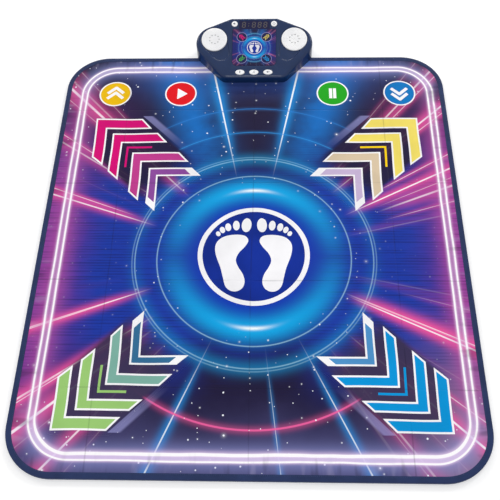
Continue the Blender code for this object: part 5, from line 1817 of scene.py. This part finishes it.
def settle(piece: Piece) -> None:
    """Applies an object's modifiers to its mesh."""
    old = piece.data
    piece.data = evaluated_mesh(piece)
    piece.modifiers.clear()
    bpy.data.meshes.remove(old)


def combine(body: Piece, tools: Sequence[Piece], operation: str = "DIFFERENCE") -> None:
    """Cuts tools from a body, or adds them to it, and removes the tools."""
    for tool in tools:
        step = body.modifiers.new("step", "BOOLEAN")
        step.operation, step.object, step.solver = operation, tool, "EXACT"
        settle(body)
        bpy.data.objects.remove(tool)


@dataclass
class ConsoleShell:
    """The upper shell: a wedge with a soft edge and a filleted dish round each speaker, open below."""

    plan: ConsolePlan
    mat: MatPlan
    edge_radius: float = 0.0058
    edge_steps: int = 8
    dish_depth: float = 0.0030
    dish_fillet: float = 0.0040
    boss_radius: float = 0.0035
    post_radius: float = 0.0022
    post_x: float = 0.042
    post_rows: Point = (0.0223, 0.115446)
    post_low: float = -0.0117
    post_overlap: float = 0.0005
    pin_radius: float = 0.0010
    pin_span: Point = (-0.0147, -0.0112)
    pilot_radius: float = 0.00135
    pilot_depth: float = 0.0163
    step_half: float = 0.16
    seat_gap: float = 0.0003
    window_ledge: float = 0.0025
    past: float = 0.005
    softening: float = 0.00028
    boss_overlap: float = 0.0015
    boss_lift: float = 0.0026

    def build(self) -> list[Piece]:
        """Builds the shell."""
        plan, face = self.plan, self.plan.face
        shell = self.body()
        past, face_depth, gap, half = self.past, -2 * self.past, self.seat_gap, self.step_half
        tape_front = self.mat.half_length - self.mat.binding - plan.gap
        step_y = self.mat.half_length + plan.gap
        tools = [
            self.hollow(),
            prism("mat_step", box_loop(-half, 0.0, half, tape_front + 0.0005), -past, self.mat.sheet_top + gap),
            prism("tape_step", box_loop(-half, tape_front, half, step_y), -past, self.mat.binding_top + gap),
            prism("panel_seat", plan.panel_outline(-plan.gap), -plan.panel_thickness - gap, past, face),
            prism("panel_window", plan.panel_outline(self.window_ledge), face_depth, past, face),
        ]
        for side in (-1, 1):
            centre = (side * plan.speaker[0], plan.speaker[1])
            opening = circle(centre, plan.grille_radius + plan.gap, 96)
            tools.append(prism("speaker_hole", opening, face_depth, past, face))
        tools += [prism("button_hole", b.outline(plan.gap), face_depth, past, face) for b in BUTTONS]
        combine(shell, tools)
        combine(shell, [*self.bosses(), *self.posts()], "UNION")
        pilot_top = self.mat.binding_top + self.pilot_depth
        pilots = [circle(point, self.pilot_radius, 12) for point in self.boss_points()]
        combine(shell, [prism("pilot", pilot, 0.0, pilot_top) for pilot in pilots])
        soften = shell.modifiers.new("soft_edges", "BEVEL")
        soften.width, soften.segments = self.softening, 2
        soften.limit_method, soften.angle_limit = "ANGLE", math.radians(50)
        settle(shell)
        smooth(shell.data, 30.0)
        shell.data.materials.clear()
        shell.data.materials.append(MouldedPlastic("navy_shell", ink("0F2952"), roughness=0.22, gloss=0.38).make())
        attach(shell, "mat")
        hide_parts("console_top_case")
        return [shell]

    def body(self) -> Piece:
        """The wedge as a solid, with its rounded edge and both dishes."""
        plan, radius = self.plan, self.edge_radius
        turns = [math.pi / 2 * i / self.edge_steps for i in range(self.edge_steps + 1)]
        rings = []
        for turn in turns:
            loop, drop = plan.outline(radius * (1 - math.cos(turn))), radius * (1 - math.sin(turn))
            rings.append([Vector((x, y, plan.height(y) - drop)) for x, y in loop])
        flat_rim = [plan.on_face((p.x, p.y)) for p in rings[-1]]
        dishes = [self.dish(side) for side in (-1, 1)]
        tiling = Tiling(flat_rim, [[(p.x, p.y) for p in dish[0]] for dish in dishes])
        vertices: list[Vector] = []
        faces: list[tuple[int, ...]] = []

        def add(points: Iterable[Vector]) -> int:
            """Adds points and returns the first one's number."""
            start = len(vertices)
            vertices.extend(points)
            return start

        start = add(plan.face @ Vector((x, y, 0.0)) for x, y in tiling.points)
        faces += [tuple(start + i for i in t) for t in tiling.triangles]
        walls = [[Vector((p.x, p.y, 0.0)) for p in rings[0]], *rings]
        for stack in (walls, *[[[plan.face @ p for p in ring] for ring in dish] for dish in dishes]):
            starts = [add(ring) for ring in stack]
            count = len(stack[0])
            for a, b in zip(starts, starts[1:]):
                faces += wall_faces(a, b, count)
            if stack is walls:
                faces.append(tuple(range(starts[0], starts[0] + count))[::-1])
            else:
                faces.append(tuple(range(starts[-1], starts[-1] + count)))
        return solid_from("console_shell", *compacted(vertices, faces))

    def dish(self, side: int) -> list[list[Vector]]:
        """The rings of a dish's fillet, from the face down to its floor, in the face's coordinates."""
        rings, steps, half = [], 8, self.dish_depth / 2
        for i in range(steps + 1):
            turn = math.pi * i / steps
            loop = self.plan.pocket_outline(side, self.dish_fillet * i / steps)
            rings.append([Vector((x, y, half * (math.cos(turn) - 1))) for x, y in loop])
        return rings

    def hollow(self) -> Piece:
        """The inside of the shell, as a tool."""
        plan = self.plan
        loop = plan.outline(plan.wall, 8.0)
        ceiling = [(x, y, plan.height(y, plan.face_thickness)) for x, y in loop]
        return solid_between("hollow", [(x, y, -self.past) for x, y in loop], ceiling)

    def boss_points(self) -> list[Point]:
        """Where the case screws stand, from the screws in the frame."""
        return [middle_of(*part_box(f"case_screw_{i}")) for i in range(1, 5)]

    def bosses(self) -> list[Piece]:
        """The screw bosses under the face."""
        found = []
        for point in self.boss_points():
            ceiling = self.plan.height(point[1], self.plan.face_thickness) + self.boss_overlap
            low = self.mat.binding_top + self.boss_lift
            found.append(prism("boss", circle(point, self.boss_radius, 24), low, ceiling))
        return found

    def posts(self) -> list[Piece]:
        """The posts that carry the board."""
        found = []
        face, top = self.plan.face, self.post_overlap - self.plan.face_thickness
        for place in ((side * self.post_x, y) for side in (-1, 1) for y in self.post_rows):
            pin = prism("post_pin", circle(place, self.pin_radius, 12), *self.pin_span, face)
            post = prism("post", circle(place, self.post_radius, 20), self.post_low, top, face)
            found += [post, pin]
        return found


def perforation_rule() -> RuleTree:
    """A tree that drills rings of holes through a plate, every other one of the third ring wider."""
    rule = RuleTree("perforated_rings", Radius="Float", Pitch="Float", Rings="Int")
    rings = rule.number("Rings")
    points = rule.node("GeometryNodePoints")
    rule.feed(points.inputs["Count"], rings * (rings + 1.0) * 3.0 + 1.0)
    index = Value(rule, rule.node("GeometryNodeInputIndex").outputs[0])
    ring = rule.maths("CEIL", (rule.maths("SQRT", index * 12.0 + 9.0) - 3.0) / 6.0 - 0.001)
    turn = (index - ring * (ring - 1.0) * 3.0 - 1.0) / (ring * 6.0) * math.tau
    away = ring * rule.number("Pitch")
    place = rule.join(away * rule.maths("COSINE", turn), away * rule.maths("SINE", turn))
    spread = rule.step("GeometryNodeSetPosition", {"Geometry": points.outputs[0], "Position": place})
    every_other = rule.maths("FLOORED_MODULO", index, 2.0)
    wide = rule.maths("COMPARE", ring, 3.0, 0.1) * every_other * 1.25 + 1.0
    drill = rule.step("GeometryNodeMeshCylinder", {"Vertices": 8, "Radius": rule.given["Radius"], "Depth": 0.02})
    drills = rule.step(
        "GeometryNodeInstanceOnPoints", {"Points": spread, "Instance": drill, "Scale": rule.join(wide, wide, 1.0)}
    )
    cut = rule.node("GeometryNodeMeshBoolean", operation="DIFFERENCE", solver="EXACT")
    rule.feed(cut.inputs["Mesh 1"], rule.given["Geometry"])
    rule.feed(cut.inputs["Mesh 2"], rule.step("GeometryNodeRealizeInstances", {"Geometry": drills}))
    rule.close(cut.outputs[0])
    return rule


@dataclass
class SpeakerGrille:
    """A white perforated disc with a soft rim and a lip that holds it from behind."""

    plan: ConsolePlan
    edge: float = 0.0010
    plate: float = 0.0020
    skirt: float = 0.0020
    crown: float = 0.0004
    hole: float = 0.00064
    pitch: float = 0.0034
    rings: int = 7
    lip: float = 0.0011
    lip_thickness: float = 0.0012
    lip_gap: float = 0.0003
    steps: int = 72

    def build(self) -> list[Piece]:
        """Builds both grilles."""
        finish = MouldedPlastic("white_grille", ink("FCFCFE"), roughness=0.45, depth=0.00003).make()
        rule = perforation_rule()
        found = []
        for side, label in ((-1, "left"), (1, "right")):
            disc = self.disc()
            sizes = {"Radius": self.hole, "Pitch": self.pitch, "Rings": self.rings}
            grille = rule.run(f"grille_{label}", disc, finish, 30.0, **sizes)
            centre = (side * self.plan.speaker[0], self.plan.speaker[1], 0.0)
            grille.data.transform(self.plan.face @ Matrix.Translation(centre))
            grille.data.materials.clear()
            grille.data.materials.append(finish)
            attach(grille, "mat")
            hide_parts(f"speaker_grille_{label}")
            found.append(grille)
        return found

    def disc(self) -> Piece:
        """The turned disc about its own axis, before it is drilled."""
        radius, edge, steps = self.plan.grille_radius, self.edge, self.steps
        lip_top = -self.plan.face_thickness - self.lip_gap
        lip_low = lip_top - self.lip_thickness
        inner, wide = radius - self.skirt, radius + self.lip
        profile = [(0.0, 0.0)]
        profile += [(radius * k, -self.crown * k * k) for k in (0.35, 0.65, 0.85)]
        for a in map(math.radians, (80, 60, 40, 20, 0)):
            profile.append((radius - edge + edge * math.cos(a), -self.crown * 0.93 - edge + edge * math.sin(a)))
        profile += [(radius, lip_top), (wide, lip_top), (wide, lip_low), (inner, lip_low)]
        profile += [(inner, -self.plate), (0.0, -self.plate)]
        vertices, faces = [], []
        for r, z in profile:
            vertices += [(x, y, z) for x, y in circle((0.0, 0.0), r, steps)]
        for k in range(len(profile) - 1):
            faces += wall_faces(k * steps, (k + 1) * steps, steps, turned_over=True)
        return solid_from("disc", vertices, faces, poles=True)


@dataclass
class ScreenPanel:
    """The glossy panel: a small backdrop, four ringed arrows, footprints and the unlit digits."""

    plan: ConsolePlan
    bevel: float = 0.0003
    middle: Point = (0.0006, 0.0696)
    window_x: float = 0.0264
    window_rows: Point = (0.0429, 0.0950)
    window_radius: float = 0.0112
    digit_places: tuple[float, ...] = (-0.0225, -0.0010, 0.01145, 0.02385)
    digit_y: float = 0.1250
    digit_size: Point = (0.0078, 0.0142)
    digit_stroke: float = 0.00165
    digit_lean: float = 0.10
    stroke_share: float = 0.82
    colon_x: float = -0.0120
    colon_step: Point = (0.0003, 0.0028)
    colon_radius: float = 0.0009
    chevrons: tuple[float, ...] = (0.0056, 0.0024, -0.0008)
    chevron_arm: float = 0.0058
    chevron_thickness: float = 0.0019
    print_radius: float = 0.0159
    window_rim: float = 0.0008
    tab_margin: float = 0.0006
    tab_overlap: float = 0.0005

    def build(self) -> list[Piece]:
        """Builds the panel."""
        art = FootArt()
        scale = self.print_radius / art.ring_outer
        ground = Backdrop("panel_backdrop", self.middle, scale, Stock.ACRYLIC, self.plan.face, False).make()
        inks = {
            "panel_white": "EDEBF5",
            "panel_blue": "12309A",
            "panel_dark": "15163F",
            "panel_glass": "14194E",
            "panel_digit": "6A645C",
            "panel_ring": "A9A6D8",
            "panel_pink": "D81B78",
            "panel_yellow": "DCC868",
            "panel_green": "4CA850",
            "panel_azure": "1590D8",
        }
        finishes = {name: PrintedInk(name, ink(code), Stock.ACRYLIC).make() for name, code in inks.items()}
        prints = [Shape(self.tab(), "panel_dark"), *self.digits(), *self.windows()]
        prints += art.shapes(self.middle, scale, "panel_white", "panel_blue", "panel_white")
        plan = self.plan
        tiling = Tiling(plan.panel_outline(self.bevel), (), prints)
        place = (plan.panel_thickness, plan.face)
        panel = tiling.plate("screen_window", ground, finishes, lambda x, y: (x, y, 0.0), *place)
        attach(panel, "mat")
        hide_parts("screen_panel")
        return [panel]

    def tab(self) -> Loop:
        """The dark strip over the display."""
        p, margin = self.plan, self.tab_margin
        low = (-p.tab_half + margin, p.panel_shoulder - self.tab_overlap)
        return box_loop(*low, p.tab_half - margin, p.panel_rear - margin)

    def digits(self) -> list[Shape]:
        """Four unlit digits of seven bars and a colon."""
        wide, tall = self.digit_size
        t, lean = self.digit_stroke, self.digit_lean
        found = []
        for place in self.digit_places:
            x, y = wide / 2 - t / 2, tall / 2 - t / 2
            bars = [((-x + t / 2, k * y), (x - t / 2, k * y)) for k in (-1, 0, 1)]
            bars += [((s * x, k * y - k * t / 2), (s * x, k * t * 0.5)) for s in (-1, 1) for k in (-1, 1)]
            for start, end in bars:
                loop = [(a + b * lean + place, b + self.digit_y) for a, b in bar(start, end, t * self.stroke_share)]
                found.append(Shape(loop, "panel_digit"))
        for k in (-1, 1):
            dot = (self.colon_x + k * self.colon_step[0], self.digit_y + k * self.colon_step[1])
            found.append(Shape(circle(dot, self.colon_radius, 16), "panel_digit"))
        return found

    def windows(self) -> list[Shape]:
        """Four rings, each with a small arrow that points to its corner."""
        found = []
        colours = {(-1, 1): "panel_pink", (1, 1): "panel_yellow", (-1, -1): "panel_green", (1, -1): "panel_azure"}
        for (side_x, side_y), colour in colours.items():
            middle = (side_x * self.window_x, self.window_rows[side_y > 0])
            for rim, finish in ((0.0, "panel_ring"), (self.window_rim, "panel_glass")):
                found.append(Shape(circle(middle, self.window_radius - rim, 56), finish))
            for c in self.chevrons:
                arm, t = self.chevron_arm, self.chevron_thickness
                upper = [(c, c), (c - arm, c), (c - arm - t, c - t)]
                loop = [*upper, (c - t, c - t), (c - t, c - arm - t), (c, c - arm)]
                found.append(Shape(moved(flipped(loop, side_x, side_y), middle), colour))
        return found


class Sign(Enum):
    """What is printed on a button."""

    SPEAKER = "speaker"
    POWER = "power"
    FIGURE = "figure"
    NOTE = "note"
    LOUDER = "louder"

    def loops(self) -> list[Loop]:
        """The sign's outlines about its centre, in thousandths of its height."""
        if self is Sign.SPEAKER or self is Sign.LOUDER:
            horn = [(-420, -150), (-210, -150), (60, -380), (60, 380), (-210, 150), (-420, 150)]
            waves = [arc_band((60, 0), r, 70, -50, 50) for r in ((230, 400) if self is Sign.LOUDER else (250,))]
            return [horn, *waves]
        if self is Sign.POWER:
            return [arc_band((0, -40), 340, 95, 125, 415), bar((0, 20), (0, 420), 95)]
        if self is Sign.FIGURE:
            neck, shoulder, hip = (0, 180), (0, 170), (-20, -110)
            limbs = ((neck, (-20, -120)), (shoulder, (300, 330)), (shoulder, (-280, 20)))
            limbs += ((hip, (180, -450)), (hip, (-230, -420)))
            return [circle((10, 340), 125, 20), *[bar(a, b, 110) for a, b in limbs]]
        heads = [oval((x, -300), (130, 95), 20, 0.35) for x in (-230, 190)]
        stems = [bar((x + 110, -290), (x + 110, 300), 60) for x in (-230, 190)]
        return [*heads, *stems, [(-150, 210), (330, 300), (330, 420), (-150, 330)]]


def arc_band(centre: Point, radius: float, width: float, start: float, end: float) -> Loop:
    """A part of a ring between two angles in degrees."""
    turns = [math.radians(start + (end - start) * i / 14) for i in range(15)]
    return arc(centre, radius + width / 2, turns) + arc(centre, radius - width / 2, turns)[::-1]


@dataclass
class ButtonCaps:
    """Five white caps with soft edges, low crowns and dark signs, each held by a flange under the face."""

    plan: ConsolePlan
    proud: float = 0.0015
    edge: float = 0.0006
    crown: float = 0.00025
    flange: float = 0.0015
    flange_thickness: float = 0.0016
    flange_gap: float = 0.0003
    sign_share: float = 1.18
    mesh_step: float = 0.0016
    signs: tuple[Sign, ...] = (Sign.SPEAKER, Sign.POWER, Sign.FIGURE, Sign.NOTE, Sign.LOUDER)

    def build(self) -> list[Piece]:
        """Builds the caps."""
        white = MouldedPlastic("white_cap", ink("FCFCFE"), roughness=0.34, depth=0.00002).make()
        dark = MouldedPlastic("cap_sign", ink("242A44"), roughness=0.5, depth=0.00001).make()
        return [self.cap(button, sign, white, dark) for button, sign in zip(BUTTONS, self.signs)]

    def cap(
        self, button: ButtonPlan, sign: Sign, white: Material, dark: Material
    ) -> Piece:
        """One cap with its sign."""
        size = min(button.radii) * self.sign_share / 1000
        prints = [Shape(moved(scaled(loop, size), button.place), "sign") for loop in sign.loops()]
        tiling = Tiling(button.outline(-self.edge), (), prints, self.mesh_step)
        vertices = [(x, y, self.top(button, x, y)) for x, y in tiling.points]
        faces, slots = list(tiling.triangles), [1 if f else 0 for f in tiling.finishes]
        edge, low = self.edge, -self.plan.face_thickness - self.flange_gap
        rings = [(-edge, None)]
        for a in map(math.radians, (60, 30, 0)):
            rings.append((-edge + edge * math.cos(a), self.proud - self.crown - edge * (1 - math.sin(a))))
        rings += [(0.0, low), (self.flange, low), (self.flange, low - self.flange_thickness)]
        starts = []
        for grow, z in rings:
            starts.append(len(vertices))
            vertices += [(x, y, self.top(button, x, y) if z is None else z) for x, y in button.outline(grow)]
        count = len(button.outline())
        for a, b in zip(starts, starts[1:]):
            faces += wall_faces(a, b, count, turned_over=True)
        faces.append(tuple(range(starts[-1], starts[-1] + count)))
        slots += [0] * (len(faces) - len(slots))
        name = button.node.replace("button", "cap")
        piece = solid_from(name, *compacted(vertices, faces), (white, dark), slots, 50.0)
        piece.data.transform(self.plan.face)
        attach(piece, button.node + "_cap")
        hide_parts(button.node)
        return piece

    def top(self, button: ButtonPlan, x: float, y: float) -> float:
        """How far the cap stands over the face at a point on it."""
        across = ((x - button.place[0]) / button.radii[0]) ** 2 + ((y - button.place[1]) / button.radii[1]) ** 2
        return self.proud - self.crown * min(across, 1.0)


# The room, the lights and the camera.


@dataclass
class Studio:
    """A pale floor, soft light and the photograph's camera."""

    pitch: float = 60.289
    yaw: float = -3.486
    roll: float = -2.860
    place: tuple[float, float, float] = (0.04024, -0.71366, 1.20528)
    focal_pixels: float = 739.81
    frame_pixels: float = 500.0
    floor_lift: float = 0.12
    floor_half: float = 9.0
    floor_z: float = -0.0006
    sky_light: float = 0.60

    LAMPS = (
        ("key_softbox", (-0.1, -1.7, 2.3), 0.90, 0.25, 20.0),
        ("side_softbox", (1.5, 1.65, 1.65), 0.45, 0.30, 11.0),
        ("left_softbox", (-1.5, 1.65, 1.65), 0.45, 0.30, 6.5),
        ("rim_softbox", (0.1, 2.5, 1.1), 1.50, 0.20, 14.0),
    )

    def build(self) -> None:
        """Makes everything that isn't part of the mat."""
        self.floor()
        self.light()
        self.camera()

    def floor(self) -> None:
        """A plain white floor that keeps the mat's shadow."""
        s = Surface("studio_floor", Specular_IOR_Level=0.0)
        cloud = s.noise(s.place, 0.8, 2.0)
        rays = s.node("ShaderNodeLightPath")
        s.shader.inputs["Emission Color"].default_value = (1.0, 1.0, 1.0, 1.0)
        s.feed(s.shader.inputs["Emission Strength"], Value(s, rays.outputs["Is Camera Ray"]) * self.floor_lift)
        material = s.finish(s.mix(cloud, (0.965, 0.965, 0.968), (0.985, 0.985, 0.987)), 0.9, cloud, 0.0001)
        half = self.floor_half
        mesh = bpy.data.meshes.new("floor")
        corners = [(x, y, self.floor_z) for x, y in box_loop(-half, -half, half, half)]
        mesh.from_pydata(corners, [], [(0, 1, 2, 3)])
        mesh.materials.append(material)
        piece = linked("floor", mesh)

    def light(self) -> None:
        """A bright even sky that shows white, and four soft lamps."""
        world = bpy.data.worlds.new("studio_sky")
        world.use_nodes = True
        bpy.context.scene.world = world
        g = Graph(world.node_tree)
        sky = world.node_tree.nodes["Background"]
        sky.inputs["Color"].default_value = (1.0, 1.0, 1.0, 1.0)
        rays = g.node("ShaderNodeLightPath")
        seen = [Value(g, rays.outputs[name]) for name in ("Is Camera Ray", "Is Glossy Ray", "Is Transmission Ray")]
        white = seen[0].most(seen[1]).most(seen[2])
        g.feed(sky.inputs["Strength"], white + (1.0 - white) * self.sky_light)
        for name, spot, wide, high, watts in self.LAMPS:
            lamp = bpy.data.lights.new(name, "AREA")
            lamp.shape, lamp.energy, lamp.size, lamp.size_y = "RECTANGLE", watts, wide, high
            holder = linked(name, lamp)
            holder.location = spot
            holder.rotation_euler = (-Vector(spot)).to_track_quat("-Z", "Y").to_euler()

    def camera(self) -> None:
        """The camera at the photograph's place and angle."""
        data = bpy.data.cameras.new("photo_camera")
        data.sensor_width = 36.0
        data.lens = self.focal_pixels / self.frame_pixels * data.sensor_width
        data.clip_start, data.clip_end = 0.05, 60.0
        pitch, yaw, roll = (math.radians(a) for a in (self.pitch, self.yaw, self.roll))
        ahead = Vector((math.sin(yaw) * math.cos(pitch), math.cos(yaw) * math.cos(pitch), -math.sin(pitch)))
        right = Vector((math.cos(yaw), -math.sin(yaw), 0.0))
        up = right.cross(ahead)
        across = right * math.cos(roll) + up * math.sin(roll)
        above = up * math.cos(roll) - right * math.sin(roll)
        camera = linked("photo_camera", data)
        turn = Matrix((across, above, -ahead)).transposed().to_4x4()
        camera.matrix_world = Matrix.Translation(self.place) @ turn
        bpy.context.scene.camera = camera
        settings = bpy.context.scene.view_settings
        settings.view_transform = "Standard"


def dress_hidden_nodes() -> None:
    """Gives the frame's own shapes their finishes."""
    steel = BareMetal("plated_steel").make()
    navy = MouldedPlastic("navy_moulding", ink("1F2D52"), roughness=0.46).make()
    red, black = WireJacket("red_lead", ink("B3201F")).make(), WireJacket("black_lead", ink("1B1B1D")).make()
    film, carbon = ClearFilm("sensor_film").make(), CarbonInk("carbon_ink").make()
    paper, wrap = SpeakerPaper("speaker_paper").make(), CellWrap("cell_wrap").make()
    wanted = {
        "foam_core": OpenFoam("foam_core", ink("D9D7CE")).make(),
        "sensor_": film,
        "mat_clamp_bar": navy,
        "console_bottom_case": navy,
        "battery_door": navy,
        "battery_door_screw": steel,
        "clamp_screw": steel,
        "case_screw": steel,
        "battery_cell": wrap,
        "battery_contact": steel,
        "battery_wire_red": red,
        "battery_wire_black": black,
        "speaker_wire": red,
        "speaker_driver": paper,
        "main_board": CircuitBoard("green_board").make(),
        "display_module": DisplayBody("display_body").make(),
        "arrow_contact": carbon,
        "icon_contact": carbon,
    }
    for name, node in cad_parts.items():
        if node.hide_render:
            continue
        match = max((key for key in wanted if name.startswith(key)), key=len, default=None)
        if match is None:
            log.info("%s keeps the frame's finish", name)
            continue
        for slot in node.material_slots:
            slot.material = wanted[match]


def main() -> None:
    """Builds the mat and the console, dresses what is hidden, and sets up the studio."""
    # The sheet's sideways drift in MatPlan.lie is drawn from this seed, or else from the clock.
    noise.seed_set(DRIFT_SEED)
    mat, console = MatPlan(), ConsolePlan()
    assemblies = (
        PrintedSheet(mat),
        EdgeTape(mat),
        Backing(mat),
        ConsoleShell(console, mat),
        SpeakerGrille(console),
        ScreenPanel(console),
        ButtonCaps(console),
    )
    for assembly in assemblies:
        for piece in assembly.build():
            log.info("%s: %d faces", piece.name, len(piece.data.polygons))
    dress_hidden_nodes()
    Studio().build()


if __name__ == "__main__":
    main()
